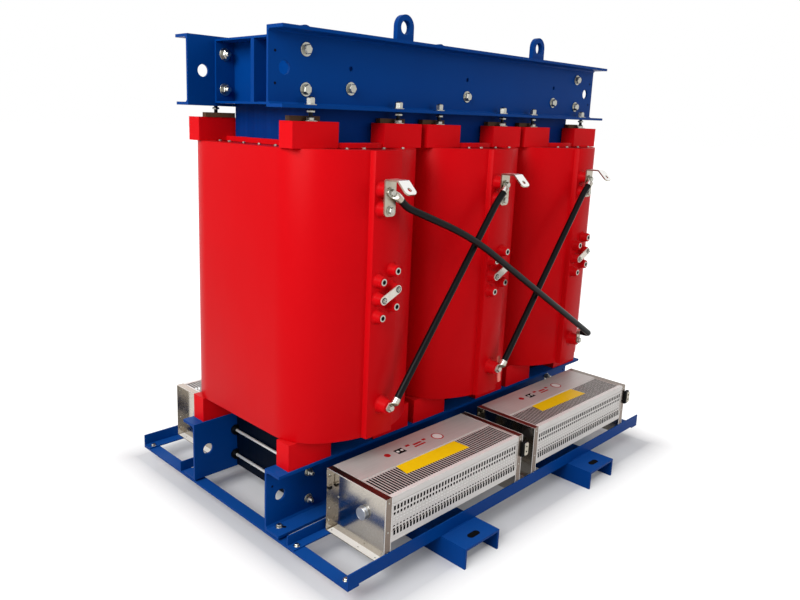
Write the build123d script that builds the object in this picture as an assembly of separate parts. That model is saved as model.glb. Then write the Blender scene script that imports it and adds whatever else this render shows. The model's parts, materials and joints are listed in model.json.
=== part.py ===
# Three-phase cast-resin dry-type power transformer with cross-flow cooling fans.
# Millimetres. X runs along the three coils, -Y is the high-voltage side, +Z is up.
# The origin is on the floor, under the middle of the core.
import math
import os

from build123d import *

# Core and coils
phase_pitch = 648.0
core_leg_width = 300.0
core_depth = 475.4
yoke_height = 300.0
core_window_bottom = 396.0
core_window_top = 1490.0
coil_bottom = 430.0
coil_top = 1454.0
hv_half_width = 300.0
hv_half_depth = 434.0
hv_corner_radius = 185.0
hv_bow_radius = 400.0
hv_wall = 68.0
cooling_duct = 38.0
lv_wall = 32.0

# Tap block cast on the front of each high-voltage coil
tap_block_front = 451.0
tap_block_face_half_width = 66.0
tap_block_base_half_width = 86.0
tap_block_depth = 34.0
tap_block_shoulder = 6.0
tap_boss_radius = 19.0
tap_boss_length = 30.0
tap_column_offset = 34.0
tap_pitch = 64.0
tap_top_drop = 413.0
tap_stagger = 31.0
tap_count = 3
tap_link_width = 26.0
tap_link_thickness = 4.0

# High-voltage terminals
terminal_boss_radius = 22.0
terminal_boss_length = 35.0
terminal_offset = -31.0
terminal_boss_drops = (129.0, 196.0)
terminal_bar_width = 52.0
terminal_bar_thickness = 6.0
terminal_bar_tail = 20.0
terminal_bar_rise = 39.0
terminal_bar_reach = 62.0
terminal_tab_length = 60.0
terminal_tab_hole_radius = 6.5
terminal_tab_hole_inset = 20.0
lower_boss_radius = 26.0
lower_boss_offset = 5.0
lower_boss_rise = 118.0

# Insulated delta leads
lead_radius = 13.0
lead_fold_radius = 30.0
lead_bend_share = 0.46
cable_lug_thickness = 5.0
cable_lug_width = 30.0
cable_lug_palm = 20.0
cable_lug_reach = 42.0
cable_lug_barrel = 24.0
cable_lug_barrel_radius = 14.5
folded_lug_barrel = 10.0
lead_first_run = (71.0, 55.0)
lead_across_first_run = (69.0, 63.0)
lead_crossing_bend = (-286.0, 1140.0)
lead_crossing_spread = 16.0
upper_lug_drop = 6.0
crossing_gap = 6.0

# Clamps, lugs and end beams
clamp_length = 2004.0
clamp_face_gap = 0.3
clamp_web = 9.0
clamp_flange = 82.0
clamp_flange_thickness = 11.0
clamp_root_chamfer = 7.0
upper_clamp_bottom = 1582.0
upper_clamp_height = 250.0
lower_clamp_height = 240.0
clamp_end_hole_radius = 22.5
clamp_end_hole_inset = 64.0
spare_hole_radius = 9.0
spare_hole_rise = 140.0
end_beam_height = 230.0
end_beam_depth = 90.0
end_beam_plate = 8.0
end_beam_rib = 20.0
end_beam_core_gap = 0.3
lug_spacing = 858.0
lug_plate_width = 104.0
lug_plate_height = 92.0
lug_plate_thickness = 16.0
lug_eye_radius = 17.5
lug_eye_height = 50.0
lug_corner_radius = 32.0

# Blocks and jacking studs that hold the coils
block_inner_offset = 110.0
block_width = 197.0
block_depth = 70.0
block_flange_inset = 6.0
upper_block_height = 87.0
stud_radius = 8.0

# Tie rods between the lower clamps
tie_rod_radius = 8.0
tie_rod_core_gap = 10.0
tie_rod_rises = (58.0, 168.0)

# Base frame
foot_width = 200.0
foot_height = 80.0
foot_web = 9.0
foot_leg = 9.0
foot_length = 1582.0
foot_spacing = 869.0
foot_slot_length = 42.0
foot_slot_width = 18.0
foot_slot_inset = 44.0
rail_end_setback = 6.0
rail_leg = 50.0
rail_thickness = 5.0
outer_rail_spread = 1356.0
inner_rail_leg = 41.0
inner_rail_spread = 722.0
strip_width = 50.0
strip_thickness = 8.0
packing_thickness = 10.0
packing_length = 120.0

# Low-voltage terminals at the rear
lv_bar_width = 100.0
lv_bar_thickness = 10.0
lv_bar_rise = 72.0
lv_bar_reach = 150.0
lv_bar_hole_radius = 7.0
lv_bar_hole_pitch = 50.0
lv_bar_hole_inset = 30.0
neutral_bar_height = 60.0
neutral_bar_thickness = 8.0
neutral_bar_drop = 20.0
neutral_riser_width = 80.0
neutral_bar_overhang = 260.0

# Cross-flow fans
fan_length = 789.0
fan_pair_gap = 84.0
fan_height = 245.0
fan_depth = 296.0
fan_sheet = 2.0
fan_flange = 30.0
fan_body_rise = 78.0
fan_front_strip_low = 40.0
fan_front_strip_high = 22.0
fan_top_panel_depth = 146.0
fan_top_border = 18.0
fan_grille_lap = 5.0
fan_slot_count = 5
fan_slot_web = 14.0
fan_slot_margin = 20.0
fan_axis_back_from_front = 132.0
fan_axis_height = 132.0
impeller_radius = 46.0
impeller_end_gap = 10.0
impeller_blades = 10
impeller_blade_depth = 11.0
impeller_blade_thickness = 1.5
impeller_blade_angle = 25.0
impeller_disc_thickness = 3.0
fan_shaft_radius = 6.0
fan_shaft_clearance = 0.1
bearing_cap_radius = 20.0
bearing_cap_depth = 14.0
bearing_cap_end = 4.0
shaft_end_gap = 1.0

# Sides of the prisms that stand for small round pieces
round_sides = 10
small_round_sides = 8

# Sizes that follow from the ones above
phases = (-phase_pitch, 0.0, phase_pitch)
clamp_inner_face = core_depth / 2 + clamp_face_gap
clamp_web_outer = clamp_inner_face + clamp_web
clamp_flange_tip = clamp_inner_face + clamp_flange
frame_top = foot_height
lower_clamp_bottom = frame_top + packing_thickness
lower_clamp_top = lower_clamp_bottom + lower_clamp_height
upper_clamp_top = upper_clamp_bottom + upper_clamp_height
flange_middle = (clamp_web_outer + clamp_flange_tip) / 2
block_outer_face = clamp_flange_tip - block_flange_inset
rail_length = clamp_length - 2 * rail_end_setback
core_end = phase_pitch + core_leg_width / 2
end_beam_reach = core_end + end_beam_depth
tie_rod_offset = core_end + tie_rod_core_gap
tie_rod_heights = tuple(lower_clamp_bottom + rise for rise in tie_rod_rises)
spare_hole_height = upper_clamp_bottom + spare_hole_rise
tap_top_right = coil_top - tap_top_drop
terminal_boss_heights = tuple(coil_top - drop for drop in terminal_boss_drops)
terminal_bar_bottom = terminal_boss_heights[1] - terminal_bar_tail
terminal_bar_top = terminal_boss_heights[0] + terminal_bar_rise
upper_lug_height = terminal_boss_heights[0] - upper_lug_drop
lower_boss_height = coil_bottom + lower_boss_rise
terminal_back = tap_block_front + terminal_boss_length
terminal_front = terminal_back + terminal_bar_thickness
lower_boss_length = terminal_front - tap_block_front
outer_rail_face = outer_rail_spread / 2
inner_rail_face = inner_rail_spread / 2
fan_floor = frame_top + rail_thickness
fan_front = outer_rail_face - rail_thickness
fan_rear = fan_front - fan_depth


def slab(x0, x1, y0, y1, z0, z1):
    """A plain rectangular solid between two corners."""
    size = (abs(x1 - x0), abs(y1 - y0), abs(z1 - z0))
    centre = ((x0 + x1) / 2, (y0 + y1) / 2, (z0 + z1) / 2)
    return Pos(*centre) * Box(*size)


def rod(start, end, radius):
    """A round bar between two points."""
    axis = Vector(*end) - Vector(*start)
    plane = Plane(origin=start, z_dir=axis.normalized())
    return extrude(plane * Circle(radius), axis.length)


def prism(start, end, radius, sides):
    """A bar with flat sides between two points, radius across its corners."""
    axis = Vector(*end) - Vector(*start)
    plane = Plane(origin=start, z_dir=axis.normalized())
    return extrude(plane * RegularPolygon(radius, sides), axis.length)


def mirrored_y(shape):
    """The same shape on the other side of the core."""
    return mirror(shape, Plane.XZ)


def mirrored_x(shape):
    """The same shape at the other end of the core."""
    return mirror(shape, Plane.YZ)


def coil_quarter(inset):
    """Five points on a quarter of the coil's plan, from the middle of its bow to its flank.

    The outline is the outer one moved inwards by the inset: a gently bowed end, a large rounded
    corner and a flat flank.
    """
    half_width = hv_half_width - inset
    half_depth = hv_half_depth - inset
    corner = hv_corner_radius - inset
    bow = hv_bow_radius - inset
    corner_x = half_width - corner
    bow_y = half_depth - bow
    corner_y = bow_y + math.sqrt((bow - corner) ** 2 - corner_x ** 2)
    join = math.atan2(corner_x, corner_y - bow_y)
    middle = (join + math.pi / 2) / 2
    return [
        (0, half_depth),
        (bow * math.sin(join / 2), bow_y + bow * math.cos(join / 2)),
        (bow * math.sin(join), bow_y + bow * math.cos(join)),
        (corner_x + corner * math.sin(middle), corner_y + corner * math.cos(middle)),
        (half_width, corner_y),
    ]


def coil_outline():
    """The high-voltage coil in plan, with its arcs."""
    points = coil_quarter(0)
    edges = Curve() + [
        ThreePointArc(*points[0:3]),
        ThreePointArc(*points[2:5]),
        Line(points[4], (points[4][0], 0)),
    ]
    edges = edges + mirror(edges, Plane.YZ)
    edges = edges + mirror(edges, Plane.XZ)
    return make_face(edges.edges())


def former_outline(inset):
    """The coil's plan drawn further in with straight sides, as on a winding former."""
    quarter = coil_quarter(inset)
    half = quarter + [(x, -y) for x, y in reversed(quarter)]
    other = [(-x, y) for x, y in reversed(half[1:-1])]
    return Polygon(*reversed(half + other), align=None)


def coil_tube(outline, hollow):
    """A hollow coil from coil_bottom to coil_top."""
    return Pos(0, 0, coil_bottom) * extrude(outline - hollow, coil_top - coil_bottom)


def front_boss(x, z, radius, length, sides):
    """A round boss on the face of the tap block, pointing forwards."""
    return prism((x, -tap_block_front, z), (x, -tap_block_front - length, z), radius, sides)


def tap_positions():
    """Centres of the tap bosses: two staggered columns."""
    for row in range(tap_count):
        yield tap_column_offset, tap_top_right - row * tap_pitch
        yield -tap_column_offset, tap_top_right - tap_stagger - row * tap_pitch


def hv_coil():
    """The cast high-voltage coil with its tap block."""
    body = coil_tube(coil_outline(), former_outline(hv_wall))
    root = tap_block_front - tap_block_depth
    shoulder = root + tap_block_shoulder
    block = Polygon(
        (-tap_block_base_half_width, -root),
        (-tap_block_base_half_width, -shoulder),
        (-tap_block_face_half_width, -tap_block_front),
        (tap_block_face_half_width, -tap_block_front),
        (tap_block_base_half_width, -shoulder),
        (tap_block_base_half_width, -root),
        align=None,
    )
    return body + Pos(0, 0, coil_bottom) * extrude(block, coil_top - coil_bottom)


def coil_bosses():
    """The cast bosses on one tap block: two upper terminals, the taps and the lower terminal."""
    bosses = [
        front_boss(terminal_offset, height, terminal_boss_radius, terminal_boss_length, round_sides)
        for height in terminal_boss_heights
    ]
    bosses += [front_boss(x, z, tap_boss_radius, tap_boss_length, small_round_sides) for x, z in tap_positions()]
    lower = (lower_boss_offset, lower_boss_height, lower_boss_radius, lower_boss_length)
    return bosses + [front_boss(*lower, round_sides)]


def lv_coil():
    """The low-voltage coil inside the high-voltage one."""
    inset = hv_wall + cooling_duct
    return coil_tube(former_outline(inset), former_outline(inset + lv_wall))


def core_leg():
    """One upright of the laminated core."""
    half = core_leg_width / 2
    return slab(-half, half, -core_depth / 2, core_depth / 2, core_window_bottom, core_window_top)


def core_yoke(bottom, top):
    """A horizontal beam of the laminated core."""
    return slab(-core_end, core_end, -core_depth / 2, core_depth / 2, bottom, top)


def terminal_bar():
    """The bent flat bar on the two upper bosses: up, out and then down at a slant."""
    slant = terminal_tab_length * math.sqrt(0.5)
    back = -terminal_back
    out = back - terminal_bar_reach
    path = [
        (back, terminal_bar_bottom),
        (back, terminal_bar_top),
        (out, terminal_bar_top),
        (out - slant, terminal_bar_top - slant),
    ]
    strip = trace_strip(path, terminal_bar_thickness)
    bar = extrude(Plane.YZ * strip, terminal_bar_width / 2, both=True)
    step = terminal_tab_hole_inset * math.sqrt(0.5)
    hole = Vector(0, out - slant + step, terminal_bar_top - slant + step)
    through = Vector(0, -terminal_bar_reach / 4, terminal_bar_reach / 4)
    bar -= rod(tuple(hole - through), tuple(hole + through), terminal_tab_hole_radius)
    return Pos(terminal_offset, 0, 0) * bar


def trace_strip(path, thickness):
    """A bent strip in section: the path is its rear face, the strip lies in front of it."""
    outer = []
    points = [Vector(a, b) for a, b in path]
    for index, point in enumerate(points):
        before = (point - points[index - 1]).normalized() if index else None
        after = (points[index + 1] - point).normalized() if index < len(points) - 1 else None
        first = before or after
        second = after or before
        normal_a = Vector(-first.Y, first.X)
        normal_b = Vector(-second.Y, second.X)
        mitre = (normal_a + normal_b).normalized()
        outer.append(point + mitre * (thickness / mitre.dot(normal_a)))
    corners = [(p.X, p.Y) for p in points] + [(p.X, p.Y) for p in reversed(outer)]
    return Polygon(*corners, align=None)


def flat_bar(start, end, width, thickness):
    """A flat bar with cut corners on the front of the coils, joining two points of their face.

    The points are given as (x, z), and the bar's back lies on the plane of the terminals.
    """
    half = width / 2
    span = math.hypot(end[0] - start[0], end[1] - start[1])
    cut = half / 2
    outline = Polygon(
        (-half, -cut), (-cut, -half), (span + cut, -half), (span + half, -cut),
        (span + half, cut), (span + cut, half), (-cut, half), (-half, cut),
        align=None,
    )
    slope = math.degrees(math.atan2(end[1] - start[1], end[0] - start[0]))
    plane = Plane(origin=(start[0], 0, start[1]), x_dir=(1, 0, 0), z_dir=(0, -1, 0))
    return extrude(plane * Rot(0, 0, slope) * outline, thickness)


def tap_link():
    """The flat link that joins two tap bosses."""
    right = (tap_column_offset, tap_top_right - tap_pitch)
    left = (-tap_column_offset, tap_top_right - tap_stagger - tap_pitch)
    front = -tap_block_front - tap_boss_length
    return Pos(0, front, 0) * flat_bar(left, right, tap_link_width, tap_link_thickness)


def bend_radii(points):
    """The largest bend radius that the runs beside each inner point allow."""
    radii = []
    for before, corner, after in zip(points, points[1:], points[2:]):
        run_in = Vector(*corner) - Vector(*before)
        run_out = Vector(*after) - Vector(*corner)
        run = lead_bend_share * min(run_in.length, run_out.length)
        radii.append(run / math.tan(math.radians(run_in.get_angle(run_out)) / 2))
    return radii


def lead(points, radii):
    """An insulated lead along straight runs joined by arcs.

    Its section has the same area as a round one of the lead's radius.
    """
    path = FilletPolyline(*points, radius=radii)
    turn = 2 * math.pi / round_sides
    corner_radius = lead_radius * math.sqrt(turn / math.sin(turn))
    section = Plane(origin=path @ 0, z_dir=path % 0) * RegularPolygon(corner_radius, round_sides)
    return sweep(section, path=path)


def channel(length, height, direction):
    """A rolled channel along X with its web inside and its flanges pointing outwards."""
    t = clamp_flange_thickness
    c = clamp_root_chamfer
    inner = clamp_inner_face
    web = clamp_web_outer
    tip = clamp_flange_tip
    outline = Polygon(
        (inner, 0), (tip, 0), (tip, t), (web + c, t), (web, t + c),
        (web, height - t - c), (web + c, height - t), (tip, height - t), (tip, height), (inner, height),
        align=None,
    )
    bar = extrude(Plane.YZ * outline, length / 2, both=True)
    return bar if direction > 0 else mirrored_y(bar)


def through_web(x, z, radius):
    """A cutter for a hole through either clamp web."""
    reach = clamp_flange_tip
    return rod((x, -reach, z), (x, reach, z), radius)


def stud_positions():
    """Plan positions of the jacking studs, over the middle of each block."""
    offset = block_inner_offset + block_width / 2
    for phase in phases:
        yield phase - offset
        yield phase + offset


def upper_clamp(direction):
    """The upper clamp with its end holes and the spare hole over each leg."""
    bar = Pos(0, 0, upper_clamp_bottom) * channel(clamp_length, upper_clamp_height, direction)
    middle = upper_clamp_bottom + upper_clamp_height / 2
    end_hole = clamp_length / 2 - clamp_end_hole_inset
    for side in (-1, 1):
        bar -= through_web(side * end_hole, middle, clamp_end_hole_radius)
    reach = clamp_flange_tip
    for x in phases:
        bar -= prism((x, -reach, spare_hole_height), (x, reach, spare_hole_height), spare_hole_radius, small_round_sides)
    return bar


def lower_clamp(direction):
    """The lower clamp with its end holes."""
    bar = Pos(0, 0, lower_clamp_bottom) * channel(clamp_length, lower_clamp_height, direction)
    middle = lower_clamp_bottom + lower_clamp_height / 2
    end_hole = clamp_length / 2 - clamp_end_hole_inset
    for side in (-1, 1):
        bar -= through_web(side * end_hole, middle, clamp_end_hole_radius)
    return bar


def jack_stud():
    """A jacking stud from a block up to the flange over it."""
    return prism((0, 0, coil_top + upper_block_height), (0, 0, upper_clamp_bottom), stud_radius, small_round_sides)


def tie_rod(height):
    """A tie rod between the lower clamps."""
    return prism((0, -clamp_inner_face, height), (0, clamp_inner_face, height), tie_rod_radius, round_sides)


def lifting_lug():
    """A lifting lug: a rounded plate with an eye, standing on the upper clamp."""
    half = lug_plate_width / 2
    outline = Polygon((-half, 0), (half, 0), (half, lug_plate_height), (-half, lug_plate_height), align=None)
    top = outline.vertices().filter_by(lambda v: v.Y > lug_plate_height / 2)
    outline = fillet(top, lug_corner_radius)
    outline -= Pos(0, lug_eye_height) * Circle(lug_eye_radius)
    plate = extrude(Plane.XZ * outline, lug_plate_thickness / 2, both=True)
    return Pos(0, 0, upper_clamp_top) * plate


def end_beam():
    """The welded beam that ties the upper clamps together past the end of the core.

    Its back plate lies against the core's end, and its flanges, feet and middle rib point outwards.
    """
    middle = upper_clamp_bottom + upper_clamp_height / 2
    low = middle - end_beam_height / 2
    high = middle + end_beam_height / 2
    inner = core_end + end_beam_core_gap
    outer = end_beam_reach
    face = clamp_inner_face
    t = end_beam_plate
    beam = slab(inner, inner + t, -face, face, low, high)
    beam += slab(inner, outer, -face, face, low, low + t)
    beam += slab(inner, outer, -face, face, high - t, high)
    beam += slab(inner, outer, -end_beam_rib / 2, end_beam_rib / 2, low, high)
    for side in (-1, 1):
        beam += slab(inner, outer, side * (face - t), side * face, low, high)
    return beam


def coil_blocks(bottom, top):
    """Four resin blocks on one coil, two at the front and two at the rear."""
    blocks = []
    for side_x in (-1, 1):
        for side_y in (-1, 1):
            near = block_inner_offset
            far = block_inner_offset + block_width
            out = block_outer_face
            blocks.append(slab(side_x * near, side_x * far, side_y * (out - block_depth), side_y * out, bottom, top))
    return blocks


def angle_rail(side, back, leg, step):
    """An angle along X: an upright leg and a flat leg on the feet.

    The upright's back is at the distance back from the core's middle plane. The flat leg points
    away from the core where step is 1, and towards it where step is -1.
    """
    t = rail_thickness
    tip = back + step * leg
    near = back + step * t
    outline = Polygon((back, 0), (tip, 0), (tip, t), (near, t), (near, leg), (back, leg), align=None)
    bar = Pos(0, 0, frame_top) * extrude(Plane.YZ * outline, rail_length / 2, both=True)
    return bar if side > 0 else mirrored_y(bar)


def channel_foot():
    """A channel laid open side down, with a slot near each end."""
    half = foot_width / 2
    outline = Polygon(
        (-half, 0), (-half + foot_leg, 0), (-half + foot_leg, foot_height - foot_web),
        (half - foot_leg, foot_height - foot_web), (half - foot_leg, 0), (half, 0),
        (half, foot_height), (-half, foot_height),
        align=None,
    )
    foot = extrude(Plane.XZ * outline, foot_length / 2, both=True)
    for side in (-1, 1):
        y = side * (foot_length / 2 - foot_slot_inset)
        slot = SlotOverall(foot_slot_length, foot_slot_width)
        foot -= Pos(0, y, foot_height - foot_web - 5) * extrude(slot, foot_web + 10)
    return foot


def cross_strip():
    """The flat strip under the rails at the end of the frame."""
    outer = rail_length / 2
    half = outer_rail_face
    return slab(outer - strip_width, outer, -half, half, frame_top - strip_thickness, frame_top)


def packing_plates():
    """Plates between the feet and the lower clamps."""
    plates = []
    for side_x in (-1, 1):
        for side_y in (-1, 1):
            x = side_x * foot_spacing / 2
            half = packing_length / 2
            plates.append(slab(
                x - half, x + half, side_y * clamp_inner_face, side_y * clamp_flange_tip,
                frame_top, lower_clamp_bottom,
            ))
    return plates


def lv_terminal():
    """A low-voltage bar: up from the coil and back over the high-voltage coil."""
    half = lv_bar_width / 2
    root = hv_half_depth - hv_wall - cooling_duct - lv_wall / 2
    top = coil_top + lv_bar_rise
    t = lv_bar_thickness
    riser = slab(-half, half, root - t / 2, root + t / 2, coil_top, top)
    flag = slab(-half, half, root - t / 2, root + lv_bar_reach, top - t, top)
    y = root + lv_bar_reach - lv_bar_hole_inset
    for step in (-1, 1):
        x = step * lv_bar_hole_pitch / 2
        flag -= rod((x, y, top - 2 * t), (x, y, top + t), lv_bar_hole_radius)
    return riser + flag


def neutral_bar():
    """The star-point bar under the coils at the rear."""
    root = hv_half_depth - hv_wall - cooling_duct - lv_wall / 2 + neutral_bar_thickness
    y0 = root - neutral_bar_thickness / 2
    y1 = root + neutral_bar_thickness / 2
    bar_top = coil_bottom - neutral_bar_drop
    half = neutral_riser_width / 2
    end = phase_pitch + neutral_bar_overhang
    bar = slab(-phase_pitch - half, end, y0, y1, bar_top - neutral_bar_height, bar_top)
    for phase in phases:
        bar += slab(phase - half, phase + half, y0, y1, bar_top - 1, coil_bottom)
    x = end - lv_bar_hole_inset
    z = bar_top - neutral_bar_height / 2
    return bar - rod((x, y0 - 1, z), (x, y1 + 1, z), lv_bar_hole_radius)


def fan_frame():
    """Named places of the front left fan, in the whole part's frame."""
    left = -fan_pair_gap / 2 - fan_length
    right = -fan_pair_gap / 2
    return left, right


def fan_sheet_bar(outline):
    """A fan's bent sheet drawn in section and run between its end plates."""
    left, right = fan_frame()
    x0 = left + fan_flange + fan_sheet
    x1 = right - fan_flange - fan_sheet
    return extrude(Plane(origin=(x0, 0, 0), x_dir=(0, 1, 0), z_dir=(1, 0, 0)) * outline, x1 - x0)


def fan_casing():
    """The two bent sheets of a fan's body.

    One runs from the front's lower strip over floor and rear wall to the top panel. The other is the
    angle along the top of the front.
    """
    t = fan_sheet
    top = fan_floor + fan_height
    low = fan_floor + fan_body_rise
    wrap = [
        (-fan_front, low + fan_front_strip_low),
        (-fan_front, low),
        (-fan_rear, low),
        (-fan_rear, top),
        (-fan_rear - fan_top_panel_depth, top),
    ]
    lip = [
        (-fan_front + fan_top_border, top),
        (-fan_front, top),
        (-fan_front, top - fan_front_strip_high),
    ]
    return [fan_sheet_bar(trace_strip(wrap, t)), fan_sheet_bar(trace_strip(lip, t))]


def fan_axis():
    """Height and distance from the core of a fan's shaft."""
    return -fan_front + fan_axis_back_from_front, fan_floor + fan_axis_height


def fan_end_plates():
    """The two end trays, flanges outwards, each with its bearing cap."""
    left, right = fan_frame()
    t = fan_sheet
    top = fan_floor + fan_height
    axis_y, axis_z = fan_axis()
    bore_corner = (fan_shaft_radius + fan_shaft_clearance) / math.cos(math.pi / round_sides)
    plates = []
    for outer, step in ((left, 1), (right, -1)):
        web = outer + step * fan_flange
        tray = slab(outer, web + step * t, -fan_front, -fan_rear, fan_floor, top)
        tray -= slab(outer - step, web, -fan_front + t, -fan_rear - t, fan_floor + t, top - t)
        root = (web + step * t / 2, axis_y, axis_z)
        tray += prism(root, (web - step * bearing_cap_depth, axis_y, axis_z), bearing_cap_radius, round_sides)
        mouth = (web + step * 2 * t, axis_y, axis_z)
        end = (web - step * (bearing_cap_depth - bearing_cap_end), axis_y, axis_z)
        tray -= prism(mouth, end, bore_corner, round_sides)
        plates.append(tray)
    return plates


def slotted_plate(length, width):
    """A flat plate in its own plane with a row of wide slots, long side across."""
    pitch = (length - 2 * fan_slot_margin + fan_slot_web) / fan_slot_count
    first = -length / 2 + fan_slot_margin + (pitch - fan_slot_web) / 2
    slots = [
        Pos(first + index * pitch, 0) * Rectangle(pitch - fan_slot_web, width - 2 * fan_slot_margin)
        for index in range(fan_slot_count)
    ]
    return Rectangle(length, width) - slots


def fan_top_grille():
    """The outlet grille in the top of a fan."""
    left, right = fan_frame()
    x0 = left + fan_flange + fan_sheet
    x1 = right - fan_flange - fan_sheet
    near = -fan_rear - fan_top_panel_depth + fan_grille_lap
    far = -fan_front + fan_top_border - fan_grille_lap
    top = fan_floor + fan_height - fan_sheet
    plate = slotted_plate(x1 - x0, near - far)
    return Pos((x0 + x1) / 2, (near + far) / 2, top - fan_sheet) * extrude(plate, fan_sheet)


def fan_front_screen():
    """The inlet screen in the front of a fan."""
    left, right = fan_frame()
    x0 = left + fan_flange + fan_sheet
    x1 = right - fan_flange - fan_sheet
    low = fan_floor + fan_body_rise + fan_front_strip_low - fan_grille_lap
    high = fan_floor + fan_height - fan_front_strip_high + fan_grille_lap
    centre = ((x0 + x1) / 2, -fan_front + fan_sheet, (low + high) / 2)
    plane = Plane(origin=centre, x_dir=(1, 0, 0), z_dir=(0, -1, 0))
    return extrude(plane * slotted_plate(x1 - x0, high - low), -fan_sheet)


def fan_impeller():
    """The bladed drum of a fan with its two shaft stubs."""
    left, right = fan_frame()
    axis_y, axis_z = fan_axis()
    x0 = left + fan_flange + fan_sheet + impeller_end_gap
    x1 = right - fan_flange - fan_sheet - impeller_end_gap
    plane = Plane(origin=(x0, axis_y, axis_z), x_dir=(0, 1, 0), z_dir=(1, 0, 0))
    blade = Rot(0, 0, impeller_blade_angle) * Rectangle(impeller_blade_depth, impeller_blade_thickness)
    blade = Pos(impeller_radius - impeller_blade_depth, 0) * blade
    blades = [Rot(0, 0, index * 360 / impeller_blades) * blade for index in range(impeller_blades)]
    drum = Part() + extrude(plane * (Sketch() + blades), x1 - x0)
    t = impeller_disc_thickness
    stub = impeller_end_gap + fan_sheet + bearing_cap_depth - bearing_cap_end - shaft_end_gap
    for end, step in ((x0, 1), (x1, -1)):
        drum += prism((end, axis_y, axis_z), (end + step * t, axis_y, axis_z), impeller_radius, round_sides)
        drum += prism((end + step, axis_y, axis_z), (end - step * stub, axis_y, axis_z), fan_shaft_radius, small_round_sides)
    return drum


def turned(shape):
    """The same shape turned half round the middle of the part."""
    return Rot(0, 0, 180) * shape


def fan_lengthways(shape):
    """The same shape moved along to the second fan of a pair."""
    return Pos(fan_length + fan_pair_gap, 0, 0) * shape


fan_places = {
    "front_left": lambda shape: shape,
    "front_right": fan_lengthways,
    "rear_right": turned,
    "rear_left": lambda shape: turned(fan_lengthways(shape)),
}

lead_axis = terminal_front + lead_radius + 2.0
crossing_axis = lead_axis + 2 * lead_radius + crossing_gap


def upper_bolt(phase):
    """The bolt of a lead on an upper terminal, in the plane of the coil faces."""
    return phase + terminal_offset, upper_lug_height


def lower_bolt(phase):
    """The bolt of a lead on a lower boss, in the plane of the coil faces."""
    return phase + lower_boss_offset, lower_boss_height


def lug_end(bolt, towards):
    """Where the cable leaves a lug that is turned towards a point."""
    dx = towards[0] - bolt[0]
    dz = towards[1] - bolt[1]
    share = cable_lug_reach / math.hypot(dx, dz)
    return bolt[0] + share * dx, bolt[1] + share * dz


def straight_lug(bolt, towards):
    """A tinned lug: a flat palm round the bolt and a barrel on the cable."""
    end = lug_end(bolt, towards)
    share = cable_lug_palm / cable_lug_reach
    tip = (bolt[0] + share * (end[0] - bolt[0]), bolt[1] + share * (end[1] - bolt[1]))
    palm = Pos(0, -terminal_front, 0) * flat_bar(bolt, tip, cable_lug_width, cable_lug_thickness)
    share = cable_lug_barrel / cable_lug_reach
    root = (end[0] + share * (bolt[0] - end[0]), -lead_axis, end[1] + share * (bolt[1] - end[1]))
    return palm + prism(root, (end[0], -lead_axis, end[1]), cable_lug_barrel_radius, round_sides)


def folded_lug(bolt):
    """A tinned lug whose barrel stands square to its palm, above the bolt."""
    x, z = bolt
    half = cable_lug_width / 2
    front = -terminal_front - cable_lug_thickness
    high = z + cable_lug_reach
    palm = slab(x - half, x + half, front, -terminal_front, z - half, high + half)
    end = (x, front - folded_lug_barrel, high)
    return palm + prism((x, front + 1, high), end, cable_lug_barrel_radius, round_sides)


def across_route(upper_phase, lower_phase):
    """A lead from an upper terminal down to the boss of the coil on its left."""
    start_bolt = upper_bolt(upper_phase)
    end_bolt = lower_bolt(lower_phase)
    across, down = lead_across_first_run
    bend = (start_bolt[0] - across, start_bolt[1] - down)
    start = lug_end(start_bolt, bend)
    end = lug_end(end_bolt, bend)
    return [(x, -lead_axis, z) for x, z in (start, bend, end)]


def crossing_route():
    """The lead that passes in front of the other two and folds back to the last coil."""
    start_bolt = upper_bolt(phases[0])
    across, down = lead_first_run
    first_bend = (start_bolt[0] + across, start_bolt[1] - down)
    start = lug_end(start_bolt, first_bend)
    x, z = lower_bolt(phases[2])
    fold_z = z + cable_lug_reach
    end = -terminal_front - cable_lug_thickness - folded_lug_barrel
    return [
        (start[0], -lead_axis, start[1]),
        (first_bend[0], -lead_axis, first_bend[1]),
        (lead_crossing_bend[0], -crossing_axis, lead_crossing_bend[1]),
        (x, -crossing_axis - lead_crossing_spread, fold_z),
        (x, end, fold_z),
    ]


lead_ends = {"delta_lead_b_a": (phases[1], phases[0]), "delta_lead_c_b": (phases[2], phases[1])}
lead_routes = {"delta_lead_a_c": crossing_route()}
for name, (upper_phase, lower_phase) in lead_ends.items():
    lead_routes[name] = across_route(upper_phase, lower_phase)


def cable_lugs():
    """All six lugs of the delta leads."""
    x, _, z = lead_routes["delta_lead_a_c"][1]
    lugs = [straight_lug(upper_bolt(phases[0]), (x, z)), folded_lug(lower_bolt(phases[2]))]
    for name, (upper_phase, lower_phase) in lead_ends.items():
        x, _, z = lead_routes[name][1]
        lugs += [straight_lug(upper_bolt(upper_phase), (x, z)), straight_lug(lower_bolt(lower_phase), (x, z))]
    return lugs


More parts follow.
